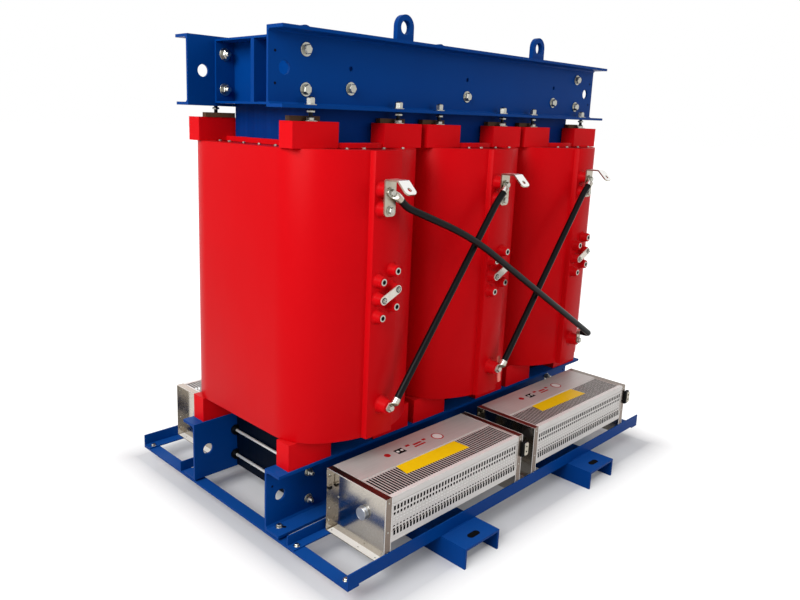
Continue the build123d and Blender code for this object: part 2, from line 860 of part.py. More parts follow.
nodes = {}
nodes["core_legs"] = [Pos(x, 0, 0) * core_leg() for x in phases]
nodes["core_top_yoke"] = [core_yoke(core_window_top, core_window_top + yoke_height)]
nodes["core_bottom_yoke"] = [core_yoke(core_window_bottom - yoke_height, core_window_bottom)]
for letter, x in zip("abc", phases):
    nodes[f"hv_coil_{letter}"] = [Pos(x, 0, 0) * hv_coil()]
    nodes[f"lv_coil_{letter}"] = [Pos(x, 0, 0) * lv_coil()]
nodes["coil_bosses"] = [Pos(x, 0, 0) * boss for x in phases for boss in coil_bosses()]
nodes["hv_terminal_bars"] = [Pos(x, 0, 0) * terminal_bar() for x in phases]
nodes["tap_links"] = [Pos(x, 0, 0) * tap_link() for x in phases]
nodes["lead_lugs"] = cable_lugs()
for name, route in lead_routes.items():
    radii = bend_radii(route)
    if name == "delta_lead_a_c":
        radii[-1] = lead_fold_radius
    nodes[name] = [lead(route, radii)]
    print(name, "bend radii", [round(radius) for radius in radii])
nodes["upper_blocks"] = [
    Pos(x, 0, 0) * block for x in phases for block in coil_blocks(coil_top, coil_top + upper_block_height)
]
nodes["lower_blocks"] = [
    Pos(x, 0, 0) * block for x in phases for block in coil_blocks(lower_clamp_top, coil_bottom)
]
nodes["jack_studs"] = [
    Pos(x, side * flange_middle, 0) * jack_stud() for x in stud_positions() for side in (-1, 1)
]
nodes["upper_clamp_front"] = [upper_clamp(-1)]
nodes["upper_clamp_rear"] = [upper_clamp(1)]
nodes["lower_clamp_front"] = [lower_clamp(-1)]
nodes["lower_clamp_rear"] = [lower_clamp(1)]
nodes["lifting_lugs"] = [
    Pos(side_x * lug_spacing / 2, side_y * flange_middle, 0) * lifting_lug() for side_x in (-1, 1) for side_y in (-1, 1)
]
nodes["end_beams"] = [end_beam(), mirrored_x(end_beam())]
nodes["tie_rods"] = [Pos(side * tie_rod_offset, 0, 0) * tie_rod(z) for side in (-1, 1) for z in tie_rod_heights]
nodes["front_rail"] = [angle_rail(-1, outer_rail_face, rail_leg, -1)]
nodes["rear_rail"] = [angle_rail(1, outer_rail_face, rail_leg, -1)]
nodes["inner_rails"] = [angle_rail(side, inner_rail_face, inner_rail_leg, 1) for side in (-1, 1)]
nodes["cross_strips"] = [cross_strip(), mirrored_x(cross_strip())]
nodes["foot_left"] = [Pos(-foot_spacing / 2, 0, 0) * channel_foot()]
nodes["foot_right"] = [Pos(foot_spacing / 2, 0, 0) * channel_foot()]
nodes["packing_plates"] = packing_plates()
nodes["lv_terminals"] = [Pos(x, 0, 0) * lv_terminal() for x in phases]
nodes["neutral_bar"] = [neutral_bar()]
for place, move in fan_places.items():
    nodes[f"fan_{place}_casing"] = [move(piece) for piece in fan_casing()]
    nodes[f"fan_{place}_end_plates"] = [move(piece) for piece in fan_end_plates()]
    nodes[f"fan_{place}_impeller"] = [move(fan_impeller())]
nodes["fan_top_grilles"] = [move(fan_top_grille()) for move in fan_places.values()]
nodes["fan_front_screens"] = [move(fan_front_screen()) for move in fan_places.values()]

os.makedirs("parts", exist_ok=True)
for name, pieces in nodes.items():
    solids = [solid for piece in pieces for solid in piece.solids()]
    export_step(Compound(children=solids) if len(solids) > 1 else solids[0], f"parts/{name}.step")
    print(name, len(solids))
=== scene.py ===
# %% [markdown]
# # A cast-resin power transformer in Blender
# The frame is the transformer's plain solids, packed in metres: X runs along the three coils, -Y is the
# high-voltage side and Z is up. This lesson dresses them. It gives every solid a finish and adds what is
# too fine for the solids: bolts, washers, cable lugs, smooth leads, perforated fan sheets and fan blades.
# The frame is loaded first. Nothing may grow out of it.

# %% Load the frame
import json
import math

import bmesh
import bpy
from mathutils import Matrix, Vector


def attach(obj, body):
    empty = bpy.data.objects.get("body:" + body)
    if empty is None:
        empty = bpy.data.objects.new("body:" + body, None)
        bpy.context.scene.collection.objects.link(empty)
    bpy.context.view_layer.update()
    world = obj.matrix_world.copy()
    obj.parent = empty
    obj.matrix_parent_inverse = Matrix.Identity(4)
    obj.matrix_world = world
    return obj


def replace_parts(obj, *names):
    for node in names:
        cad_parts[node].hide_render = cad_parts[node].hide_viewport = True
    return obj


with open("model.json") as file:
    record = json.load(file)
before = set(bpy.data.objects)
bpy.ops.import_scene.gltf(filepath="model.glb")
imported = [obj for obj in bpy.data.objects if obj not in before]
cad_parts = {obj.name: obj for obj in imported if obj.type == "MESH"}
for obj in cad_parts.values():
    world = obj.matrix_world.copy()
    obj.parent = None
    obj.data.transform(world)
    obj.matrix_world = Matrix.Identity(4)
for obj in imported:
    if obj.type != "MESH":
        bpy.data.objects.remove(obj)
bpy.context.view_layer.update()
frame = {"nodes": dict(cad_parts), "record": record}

# %% [markdown]
# ## The camera
# A camera is where it stands, which way it looks and how long its lens is. These numbers come from the
# straight edges of the real object: clamps, rails and feet give three sets of parallel lines, and only one
# place and lens lets them all meet where they do. The small shift stands for a cropped frame.

# %% Set up the camera
CAMERA_PLACE = Vector((-2.4076, -2.1589, 1.5636))
YAW, PITCH, ROLL = 0.77832, -0.21129, 0.03504


def looking(yaw, pitch, roll):
    """The camera's right, up and forward directions."""
    forward = Vector((math.sin(yaw) * math.cos(pitch), math.cos(yaw) * math.cos(pitch), math.sin(pitch)))
    level = Vector((math.cos(yaw), -math.sin(yaw), 0))
    upright = level.cross(forward)
    right = math.cos(roll) * level + math.sin(roll) * upright
    up = math.cos(roll) * upright - math.sin(roll) * level
    return right, up, forward


right, up, forward = looking(YAW, PITCH, ROLL)
camera = bpy.data.objects.new("camera", bpy.data.cameras.new("camera"))
camera.matrix_world = Matrix.Translation(CAMERA_PLACE) @ Matrix((right, up, -forward)).transposed().to_4x4()
camera.data.lens = 32.508
camera.data.shift_x, camera.data.shift_y = 0.0378, -0.0358
camera.data.clip_end = 200
bpy.context.scene.collection.objects.link(camera)
bpy.context.scene.camera = camera
print("camera looks along", [round(c, 3) for c in forward])

# %% [markdown]
# ## Shader sums as plain expressions
# A finish is a network of nodes. Drawing it node by node hides the idea, so a small class wraps a socket
# and lets Python's own operators add the Math nodes: `1 - mask` is then a network of one node. A second
# class holds the material and makes any other node from its type, its settings and its sockets.

# %% Wrap a socket so that it can be reckoned with
class Amount:
    """A node's output that takes part in sums; each sum adds a Math node."""

    def __init__(self, finish, socket):
        self.finish, self.socket = finish, socket

    def reckon(self, operation, *terms):
        sockets = dict(enumerate(terms))
        return self.finish.node("ShaderNodeMath", {"operation": operation}, sockets)

    def __add__(self, other):
        return self.reckon("ADD", self, other)

    def __rsub__(self, other):
        return self.reckon("SUBTRACT", other, self)

    def __mul__(self, other):
        return self.reckon("MULTIPLY", self, other)

    def __truediv__(self, other):
        return self.reckon("DIVIDE", self, other)

    def __pow__(self, other):
        return self.reckon("POWER", self, other)

    def clamped(self):
        return self.reckon("MINIMUM", self.reckon("MAXIMUM", self, 0.0), 1.0)

    __radd__, __rmul__ = __add__, __mul__


print("sums of sockets can be written with + - * / and **")

# %% A finish and its nodes
def paint(red, green, blue):
    """A colour from its 0 to 255 values on a screen, as the light that Blender reckons with."""
    values = [c / 255 for c in (red, green, blue)]
    return (*[c / 12.92 if c <= 0.04045 else ((c + 0.055) / 1.055) ** 2.4 for c in values], 1.0)


class Finish:
    """A material, its nodes and the sums between them."""

    def __init__(self, name):
        self.material = bpy.data.materials.new(name)
        self.material.use_nodes = True
        self.tree = self.material.node_tree
        self.shader = self.tree.nodes["Principled BSDF"]
        self.spot = self.node("ShaderNodeTexCoord", output="Object")

    def node(self, kind, settings=None, sockets=None, output=0):
        """Any node: its settings come first, then the values or links of its sockets."""
        made = self.tree.nodes.new(kind)
        for key, value in (settings or {}).items():
            setattr(made, key, value)
        for key, value in (sockets or {}).items():
            self.fill(made.inputs[key], value)
        return Amount(self, made.outputs[output])

    def fill(self, socket, value):
        if isinstance(value, Amount):
            self.tree.links.new(value.socket, socket)
        else:
            socket.default_value = value

    def cloud(self, scale, detail=3.0, stretch=(1, 1, 1), rough=0.5):
        """Soft random patches, between 0 and 1, scale of them to a metre, stretched along an axis."""
        scaling = {"Vector": self.spot, "Scale": stretch}
        place = self.node("ShaderNodeMapping", {"vector_type": "POINT"}, scaling)
        values = {"Vector": place, "Scale": scale, "Detail": detail, "Roughness": rough}
        return self.node("ShaderNodeTexNoise", sockets=values)

    def mixed(self, share, first, second):
        """A colour between two colours."""
        return self.node("ShaderNodeMix", {"data_type": "RGBA"}, {0: share, 6: first, 7: second}, output=2)

    def facing(self, axis):
        """How far the surface faces along X, Y or Z, from -1 to 1."""
        normal = self.node("ShaderNodeNewGeometry", output="Normal")
        return self.node("ShaderNodeSeparateXYZ", sockets={0: normal}, output=axis)

    def relief(self, height, depth, strength=1.0, edge=0.0):
        """A slight relief, depth metres deep, on edges that are eased by edge metres."""
        values = {"Height": height, "Distance": depth, "Strength": strength}
        if edge:
            values["Normal"] = self.node("ShaderNodeBevel", {"samples": 4}, {"Radius": edge})
        return self.node("ShaderNodeBump", sockets=values)

    def set(self, **sockets):
        """Sets the shader's sockets, a name's underscores being spaces."""
        for key, value in sockets.items():
            self.fill(self.shader.inputs[key.replace("_", " ")], value)
        return self


print("a finish is written as sums of clouds and colours")

# %% [markdown]
# ## Blue enamel
# Clamps, feet, rails and end beams are rolled steel, sprayed blue over primer. Sprayed enamel has a fine
# orange peel. Where it faces up it gets a little dust, and its colour is mixed towards a paler blue there:
# painted light from above. A bevel node rounds the edges in the shading by about a millimetre, which is
# what rolled steel has, without touching the solids' meshes.

# %% Blue enamel
PEEL_DEPTH, ROLLED_EDGE = 0.00025, 0.0015


def enamel(name, deep, light):
    finish = Finish(name)
    painted_top_blue, dust_grey = paint(6, 82, 168), paint(120, 140, 165)
    coat = finish.cloud(2.2, 4.0)
    peel = finish.cloud(330, 2.0)
    upward = finish.facing("Z").clamped() ** 4
    dust = upward * finish.cloud(19, 6.0, rough=0.7)
    colour = finish.mixed(coat.clamped(), deep, light)
    # painted light: faces that look up are mixed halfway to a paler blue
    colour = finish.mixed(upward * 0.5, colour, painted_top_blue)
    colour = finish.mixed((dust * 0.05).clamped(), colour, dust_grey)
    rough = 0.34 + 0.12 * coat + 0.22 * dust
    bump = finish.relief(peel, PEEL_DEPTH, 0.5, ROLLED_EDGE)
    return finish.set(Base_Color=colour, Roughness=rough, Normal=bump, Specular_IOR_Level=0.045)


blue_enamel = enamel("blue_enamel", paint(0, 50, 118), paint(2, 64, 138))
print("blue enamel has", len(blue_enamel.tree.nodes), "nodes")

# %% [markdown]
# ## Stacked core steel under lacquer
# The core is hundreds of thin steel sheets laid against each other along Y and lacquered blue once it is
# stacked. Seen from the top or from the ends, the sheet edges make fine lines. Clouds that are squeezed
# hard along Y and drawn out along X and Z give such lines on any face, with no picture to wrap. The bottom
# yoke lies in a dark corner between coils and feet, so its lacquer is painted much darker: painted shade.

# %% Core lacquer
def core_lacquer(name, deep, light):
    finish = Finish(name)
    sheets = finish.cloud(1.0, 3.0, (2, 700, 2))
    packets = finish.cloud(1.0, 2.0, (0.4, 60, 0.4))
    colour = finish.mixed(packets.clamped(), deep, light)
    lines = (sheets + packets) * 0.5
    bump = finish.relief(lines, 0.0012, 0.8, 0.0012)
    return finish.set(Base_Color=colour, Roughness=0.38 + 0.2 * sheets, Normal=bump, Specular_IOR_Level=0.045)


core_blue = core_lacquer("core_lacquer", paint(0, 38, 104), paint(2, 54, 128))
# painted shade: a nearly black copy of the core lacquer, for the bottom yoke in its dark corner
core_painted_shade = core_lacquer("core_lacquer_painted_shade", paint(0, 5, 16), paint(1, 10, 28))
print("core lacquer has", len(core_blue.tree.nodes), "nodes")

# %% [markdown]
# ## Cast resin
# A high-voltage coil is wound, set in a steel mould and filled with pigmented epoxy under vacuum. What
# comes out is dense and half glossy. The mould leaves wide, shallow waves that show only in reflections,
# so they are relief, and hardly any change of colour.

# %% Red resins
def resin(name, deep, light, gloss, wave_depth):
    finish = Finish(name)
    body = finish.cloud(1.6, 3.0)
    waves = finish.cloud(5.5, 2.0, (1, 1, 0.35))
    grain = finish.cloud(190, 2.0)
    film = (finish.facing("Z").clamped() ** 3) * finish.cloud(26, 5.0)
    colour = finish.mixed(body.clamped(), deep, light)
    colour = finish.mixed((film * 0.08).clamped(), colour, paint(176, 120, 116))
    bump = finish.relief(waves + 0.03 * grain, wave_depth, 0.6, 0.002)
    return finish.set(Base_Color=colour, Roughness=gloss + 0.1 * waves, Normal=bump, Specular_IOR_Level=0.05)


red_resin = resin("red_resin", paint(192, 3, 11), paint(204, 7, 17), 0.34, 0.004)
red_block = resin("red_block", paint(206, 6, 15), paint(216, 12, 22), 0.42, 0.001)
winding_resin = resin("winding_resin", paint(112, 12, 16), paint(140, 20, 24), 0.5, 0.001)
print("three red resins, from the same recipe")

# %% [markdown]
# ## Bare metals
# A metal's colour is the colour of its reflections, and what tells metals apart is how rough they are and
# in which direction. Rolled or brushed sheet has hair-fine scratches along one axis, drawn here by clouds
# stretched a hundred times. Zinc plating is dull and slightly yellow, tin is paler and smoother. Thin
# sheet under a film of grease isn't a clean mirror, so a metal can be less than fully bare, and one can
# be painted paler where it faces up, which is painted light on its top.

# %% Metals
def metal(name, deep, light, gloss, stretch=(1, 1, 1), hair=120.0, spread=0.12, bare=1.0, painted_top_light=0.0):
    finish = Finish(name)
    brushing = finish.cloud(hair, 3.0, stretch)
    patches = finish.cloud(11, 4.0)
    share = (0.65 * brushing + 0.35 * patches).clamped()
    bump = finish.relief(brushing, 0.00004, 0.5)
    colour = finish.mixed(share, deep, light)
    # painted light: the colour is mixed towards white where the metal faces up
    if painted_top_light:
        colour = finish.mixed((finish.facing("Z") * painted_top_light).clamped(), colour, paint(250, 249, 246))
    return finish.set(Base_Color=colour, Metallic=bare, Roughness=gloss + spread * share, Normal=bump)


zinc = metal("zinc_plate", paint(148, 147, 138), paint(200, 199, 190), 0.24)
tin = metal(
    "tinned_copper", paint(138, 130, 112), paint(200, 193, 178), 0.24,
    hair=60.0, spread=0.16, painted_top_light=1.3,
)
aluminium = metal("rolled_aluminium", paint(176, 178, 180), paint(214, 216, 218), 0.28, (1, 0.03, 1))
fan_sheet = metal(
    "brushed_fan_sheet", paint(188, 184, 180), paint(226, 222, 218), 0.42,
    (0.01, 1, 1), 420.0, bare=0.35,
)
# painted highlight: a near-white, nearly matt sheet for the bright folds and cut edges of the fan sheets; the
# tongues use it too
white_sheet_and_painted_highlight = metal("white_sheet_and_painted_highlight", paint(224, 222, 219), paint(244, 242, 239), 0.36, bare=0.1)
bright_bar = metal("bright_bar", paint(214, 214, 210), paint(240, 240, 236), 0.3, bare=0.6)
# near-black steel: black oxide, and painted shade on the jacking studs' threads and round the tap bolts
black_oxide_and_painted_shade = metal("black_oxide_and_painted_shade", paint(20, 22, 26), paint(36, 38, 42), 0.42)
bright_tin = metal("bright_tin", paint(196, 188, 174), paint(238, 232, 222), 0.34, spread=0.06, bare=0.4)
# painted reflection: tin with the red of the nearby resin in its colour
tin_painted_red_reflection = metal("tin_painted_red_reflection", paint(206, 104, 92), paint(232, 132, 118), 0.36, spread=0.06, bare=0.5)
# painted shade: a darker copy of the tray metal, for the flange faces
shaded_fold = metal("shaded_fold", paint(106, 94, 86), paint(142, 128, 116), 0.3, spread=0.06)
tray_sheet = metal("polished_tray", paint(164, 156, 144), paint(206, 200, 190), 0.13, spread=0.06)
# painted shade: the blades are dark grey, for the dark inside of the casing
blade_metal_painted_shade = metal("blade_metal_painted_shade", paint(40, 41, 42), paint(62, 63, 64), 0.5)
cap_metal = metal("turned_cap", paint(150, 154, 160), paint(190, 193, 198), 0.3)
print("thirteen metals, from the same recipe")

# %% [markdown]
# ## Small plain finishes
# Cable jacket, rubber, bare label stock, resin board and the dark of a drilled hole cover little area.
# They still get a little unevenness, because a surface of one flat colour looks like plastic film.

# %% Jacket, label stock, board and shadow
def plain(name, deep, light, gloss, scale=60.0, depth=0.00015):
    finish = Finish(name)
    patches = finish.cloud(scale, 3.0)
    bump = finish.relief(patches, depth, 0.4)
    colour = finish.mixed(patches.clamped(), deep, light)
    return finish.set(Base_Color=colour, Roughness=gloss + 0.1 * patches, Normal=bump, Specular_IOR_Level=0.1)


cable_jacket = plain("cable_jacket", paint(6, 6, 8), paint(16, 16, 18), 0.26, 90.0)
black_rubber = plain("black_rubber", paint(8, 8, 9), paint(18, 18, 19), 0.7)
yellow_stock = plain("yellow_label_stock", paint(246, 200, 8), paint(253, 214, 22), 0.32)
white_stock = plain("white_label_stock", paint(224, 222, 218), paint(238, 236, 232), 0.35)
red_stock = plain("red_label_stock", paint(168, 22, 26), paint(186, 30, 34), 0.38)
resin_board = plain("resin_board", paint(176, 148, 104), paint(202, 176, 132), 0.6, 40.0)
packing_board = plain("packing_board", paint(80, 60, 44), paint(102, 80, 60), 0.6, 40.0)
hole_shadow = plain("hole_shadow", paint(1, 1, 2), paint(5, 5, 7), 0.9)
print("eight small finishes")

# %% [markdown]
# ## Finishes on the solids
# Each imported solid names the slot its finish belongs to. One table from slot to finish dresses them all,
# and a solid that a finer piece replaces later simply isn't shown.

# %% Dress the solids
FINISH_OF_SLOT = {
    "blue_paint": blue_enamel, "core_steel": core_blue, "red_resin": red_resin, "red_block": red_block,
    "lv_winding": winding_resin, "tinned_metal": tin, "zinc_steel": zinc, "bare_aluminium": aluminium,
    "black_cable": cable_jacket, "fan_sheet": fan_sheet, "fan_end_sheet": tray_sheet,
    "impeller_metal": blade_metal_painted_shade,
}
for part in frame["record"]["subparts"]:
    mesh = frame["nodes"][part["node"]].data
    mesh.materials.clear()
    # the bottom yoke gets the lacquer with painted shade
    finish = core_painted_shade if part["node"] == "core_bottom_yoke" else FINISH_OF_SLOT[part["material_slot"]]
    mesh.materials.append(finish.material)

# %% [markdown]
# ## A mould for meshes
# Every added piece is made the same way: corners and faces are collected in millimetres, then turned into
# one mesh. Nearly everything on a machine is a block, a stack of rings (a bolt head, a washer, a cable) or
# a bent sheet, so the mould has a method for each. Edges sharper than 32 degrees stay sharp.

# %% The mould
class Mould:
    """Collects corners, in millimetres, and faces."""

    def __init__(self):
        self.corners, self.faces = [], []

    def add(self, corners, faces):
        start = len(self.corners)
        self.corners += [Vector(c) for c in corners]
        self.faces += [[start + i for i in face] for face in faces]

    def block(self, low, high):
        x, y, z = zip(low, high)
        corners = [(x[i & 1], y[i >> 1 & 1], z[i >> 2]) for i in range(8)]
        faces = [(0, 2, 3, 1), (4, 5, 7, 6), (0, 1, 5, 4), (2, 6, 7, 3), (0, 4, 6, 2), (1, 3, 7, 5)]
        self.add(corners, faces)

    def rings(self, rings, closed=False):
        """Skins a row of rings with the same number of points; closed joins the last to the first."""
        count = len(rings[0])
        faces = []
        for step in range(len(rings) if closed else len(rings) - 1):
            a, b = step * count, (step + 1) % len(rings) * count
            faces += [(a + i, a + (i + 1) % count, b + (i + 1) % count, b + i) for i in range(count)]
        if not closed:
            last = (len(rings) - 1) * count
            faces += [tuple(range(count))[::-1], tuple(range(last, last + count))]
        self.add([c for ring in rings for c in ring], faces)

    def turned(self, origin, axis, profile, sides=24, closed=False, turn=0.0):
        """A turned piece: the profile gives distance along the axis and radius, row by row."""
        axis = Vector(axis).normalized()
        upright = abs(axis.z) > 0.9
        across = (axis.orthogonal() if upright else Vector((0, 0, 1)).cross(axis)).normalized()
        other = axis.cross(across)
        rings = []
        for along, radius in profile:
            angles = [turn + math.tau * i / sides for i in range(sides)]
            centre = Vector(origin) + axis * along
            rings.append([centre + radius * (math.cos(a) * across + math.sin(a) * other) for a in angles])
        self.rings(rings, closed)

    def disc(self, point, axis, radius, thick, sides=16):
        self.turned(point, axis, [(0, radius), (thick, radius)], sides)


trial = Mould()
trial.block((0, 0, 0), (1, 1, 1))
print("a block has", len(trial.corners), "corners and", len(trial.faces), "faces")

# %% From the mould to a piece
added = []


def piece(name, mould, finish, slot, body="transformer", place=None):
    """Makes the mesh, smooths it, gives it its finish and lets it ride on its body."""
    mesh = bpy.data.meshes.new(name)
    corners = [Vector(place(c)) if place else c for c in mould.corners]
    mesh.from_pydata([c * 0.001 for c in corners], [], mould.faces)
    work = bmesh.new()
    work.from_mesh(mesh)
    bmesh.ops.remove_doubles(work, verts=work.verts, dist=1e-6)
    bmesh.ops.recalc_face_normals(work, faces=work.faces)
    work.to_mesh(mesh)
    work.free()
    mesh.shade_smooth()
    mesh.set_sharp_from_angle(angle=math.radians(32))
    mesh.materials.append(finish.material)
    made = bpy.data.objects.new(name, mesh)
    bpy.context.scene.collection.objects.link(made)
    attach(made, body)
    added.append((name, sum(len(p.vertices) - 2 for p in mesh.polygons)))
    return made


print("the mould knows blocks, rings and turned pieces")

# %% [markdown]
# ## Bolts, washers and nuts
# A steel bolt is a hexagon head whose corners are turned off at a slant, over a flat washer. The slant is
# what catches the light, so it is in the mesh. The far end shows a nut and a few turns of plain thread,
# here as rings. All sizes are shares of the thread's, as in any table of bolts, and a group of bolts is
# one piece.

# %% Bolt heads and nuts
def washer(mould, point, axis, radius, thick=3.0, hole=6.0):
    edge = 0.6
    profile = [(0, hole), (0, radius - edge), (edge, radius), (thick - edge, radius)]
    profile += [(thick, radius - edge), (thick, hole)]
    mould.turned(point, axis, profile, 28, closed=True)


def hexagon(mould, point, axis, across, high, turn=0.0):
    """A hexagon with its corners turned off at the top."""
    corner = across / math.sqrt(3)
    slant = 0.11 * across
    profile = [(0, corner), (high - slant, corner), (high, corner * 0.84)]
    mould.turned(point, axis, profile, 6, turn=turn)


WASHER_RADIUS, WASHER_THICK, ACROSS_FLATS, HEAD_HIGH, NUT_HIGH = 1.15, 0.18, 1.5, 0.65, 0.8


def bolt_head(mould, point, axis, size, turn=0.0, high=HEAD_HIGH):
    """Washer and head of a bolt whose shank is size millimetres thick."""
    axis = Vector(axis)
    washer(mould, point, axis, WASHER_RADIUS * size, WASHER_THICK * size, 0.5 * size)
    seat = Vector(point) + axis * WASHER_THICK * size
    hexagon(mould, seat, axis, ACROSS_FLATS * size, high * size, turn)


def nut(mould, point, axis, size, turn=0.0, thread=0.6):
    """Washer, nut and the end of the thread."""
    axis = Vector(axis)
    bolt_head(mould, point, axis, size, turn, NUT_HIGH)
    radius = 0.48 * size
    face = (WASHER_THICK + NUT_HIGH) * size
    rows = max(2, int(thread * size / 2.0))
    steps = [(0.5 * size, radius)]
    for i in range(rows):
        low = face + thread * size * i / rows
        steps += [(low, radius), (low + 0.9, radius - 0.7)]
    end = face + thread * size
    steps += [(end - 1.0, radius), (end, radius - 1.2)]
    mould.turned(point, axis, steps, 14)


print("a bolt is a washer, a hexagon with turned corners and a little thread")

# %% [markdown]
# ## Clamp bolts and jacking studs
# Four bolts at each end hold the upper clamps to the end beams, heads outside and nuts inside. Over each
# leg one more bolt presses yoke and clamps together. The jacking studs stand on the resin blocks: screwing
# one down presses the coil against the clamps, so each has a thin nut under the flange, and a washer and a
# tall nut on it.

# %% Place the clamp bolts
PHASES = (-648.0, 0.0, 648.0)
WEB, INNER, FLANGE = 247.0, 238.0, 283.5
UPPER, LOWER = 1582.0, 90.0
UPPER_FLANGE, LOWER_FLANGE = UPPER + 11, LOWER + 11
BEAM_BOLT_X, END_BOLT_X, BEAM_SHEET = 850, 960, 8
BEAM_BOLTS = ((1770, 0.2), (1643, 0.5))
UPPER_YOKE_BOLT, LOWER_YOKE_BOLT = UPPER + 73, LOWER + 120
UPWARDS, OUTWARDS = (0, 0, 1), (0, -1, 0)

clamp_bolts = Mould()
for side in (-1, 1):
    for x in (-BEAM_BOLT_X, BEAM_BOLT_X):
        for z, turn in BEAM_BOLTS:
            bolt_head(clamp_bolts, (x, side * WEB, z), (0, side, 0), 20, turn)
            nut(clamp_bolts, (x, side * (INNER - BEAM_SHEET), z), (0, -side, 0), 20, turn)
    for i, x in enumerate(PHASES):
        bolt_head(clamp_bolts, (x, side * WEB, UPPER_YOKE_BOLT), (0, side, 0), 20, 0.3 * i)
        bolt_head(clamp_bolts, (x, side * WEB, LOWER_YOKE_BOLT), (0, side, 0), 20, 0.4 * i)
    for x in (-END_BOLT_X, END_BOLT_X):
        bolt_head(clamp_bolts, (x, side * 270, LOWER_FLANGE), UPWARDS, 12)
piece("clamp_bolts", clamp_bolts, zinc, "zinc_steel")
print("clamp bolts:", added[-1])

# %% Dress the jacking studs
BLOCK_TOP, STUD_OFFSET, STUD_RADIUS, STUD_HOLE = 1541.0, 208.5, 7.0, 6.5
STUD_END = [
    (BLOCK_TOP, STUD_RADIUS), (UPPER + 30, STUD_RADIUS), (UPPER + 37, STUD_RADIUS),
    (UPPER + 38.5, STUD_RADIUS - 1.2),
]
studs, stud_nuts = Mould(), Mould()
for phase in PHASES:
    for offset in (-STUD_OFFSET, STUD_OFFSET):
        for side in (-1, 1):
            x, y = phase + offset, side * FLANGE
            studs.turned((x, y, 0), UPWARDS, STUD_END, 20)
            washer(stud_nuts, (x, y, BLOCK_TOP), UPWARDS, 24, 3, STUD_HOLE)
            hexagon(stud_nuts, (x, y, BLOCK_TOP + 3), UPWARDS, 25, 11, offset)
            hexagon(stud_nuts, (x, y, UPPER - 12), UPWARDS, 26, 8, phase)
            washer(stud_nuts, (x, y, UPPER_FLANGE), UPWARDS, 21, 3.5, STUD_HOLE)
            hexagon(stud_nuts, (x, y, UPPER_FLANGE + 3.5), UPWARDS, 26, 21, phase + offset)
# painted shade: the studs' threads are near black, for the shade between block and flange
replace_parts(piece("dressed_jack_studs", studs, black_oxide_and_painted_shade, "zinc_steel"), "jack_studs")
piece("jack_stud_nuts", stud_nuts, zinc, "zinc_steel")
print("jacking studs:", added[-2:])

# %% [markdown]
# ## Tie rods
# Two rods past each end of the bottom yoke pull the lower clamps together. They are plain bright bar with
# a thread, a nut outside each clamp and a dark collar inside it. The piece is a little thinner than its
# solid, which has the size of the thread all along.

# %% Tie rods
ROD_X, ROD_HEIGHTS, ROD_RADIUS, COLLAR_THICK = 808, (148, 258), 5.8, 13.5
rods, rod_nuts, collars = Mould(), Mould(), Mould()
for x in (-ROD_X, ROD_X):
    for z in ROD_HEIGHTS:
        rods.disc((x, -INNER, z), (0, 1, 0), ROD_RADIUS, 2 * INNER, 24)
        for side in (-1, 1):
            nut(rod_nuts, (x, side * WEB, z), (0, side, 0), 16, z, 0.8)
            inside = (x, side * (INNER - COLLAR_THICK - 0.5), z)
            washer(collars, inside, (0, side, 0), 21, COLLAR_THICK, 6.0)
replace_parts(piece("turned_tie_rods", rods, bright_bar, "zinc_steel"), "tie_rods")
piece("rod_nuts", rod_nuts, zinc, "zinc_steel")
piece("rod_collars", collars, black_oxide_and_painted_shade, "zinc_steel")
print("tie rods:", added[-3:])

# %% [markdown]
# ## Drilled holes that the solids leave out
# The clamps have small spare holes near their ends. A thin dark disc on the face reads as a hole from any
# distance at which the whole object is in view, and needs no cutting of the rolled section.

# %% Spare holes
SPARE_X, SPARE_FLANGE_X, INK = 975, 947, 0.3
spare_holes = Mould()
for side in (-1, 1):
    for end in (-1, 1):
        for z in (UPPER + 75, UPPER + 175, LOWER + 165):
            spare_holes.disc((end * SPARE_X, side * WEB, z), (0, side, 0), 4.6, INK)
        spare_holes.disc((end * SPARE_FLANGE_X, side * 285, LOWER_FLANGE), UPWARDS, 6.5, INK)
piece("spare_holes", spare_holes, hole_shadow, "blue_paint")
print("spare holes:", added[-1])

# %% [markdown]
# ## Cast coils
# The mould of a coil is rolled sheet, so its plan is pure arcs: a gently bowed end, a large corner, a flat
# flank. Down the front runs the tap block, whose flanks are nearly square to its face, with just the draft
# that lets the mould come off. Every edge of the casting is eased by three millimetres. The solid is kept
# plainer, with a broader block and a hollow in straight runs, and this piece stands in for it.

# %% The plan of a coil
COIL_BOTTOM, COIL_TOP = 430.0, 1454.0
HALF_WIDTH, HALF_DEPTH, CORNER, BOW, WALL = 300.0, 434.0, 185.0, 400.0, 68.0
BLOCK_FACE = 451.0


def coil_plan(inset, steps=14):
    """The coil's outline, moved inwards by inset, as points from the middle of the rear bow."""
    corner_x, bow_y = HALF_WIDTH - CORNER, HALF_DEPTH - BOW
    corner_y = bow_y + math.sqrt((BOW - CORNER) ** 2 - corner_x ** 2)
    join = math.atan2(corner_x, corner_y - bow_y)
    bow, corner = BOW - inset, CORNER - inset
    quarter = []
    for i in range(steps):
        angle = join * i / steps
        quarter.append((bow * math.sin(angle), bow_y + bow * math.cos(angle)))
    for i in range(steps + 1):
        angle = join + (math.pi / 2 - join) * i / steps
        quarter.append((corner_x + corner * math.sin(angle), corner_y + corner * math.cos(angle)))
    half = quarter + [(x, -y) for x, y in quarter[::-1]]
    return half + [(-x, y) for x, y in half[-2:0:-1]]


def block_plan(inset):
    """The tap block's outline: nearly square flanks and eased corners, its root inside the coil."""
    root, edge, face = 68 - inset, 65.4 - inset, BLOCK_FACE - inset
    half = [(root, 400), (root, 424), (edge, face - 3), (edge - 1, face - 0.9), (edge - 3.4, face)]
    return [(x, -y) for x, y in half] + [(-x, -y) for x, y in half[::-1]]


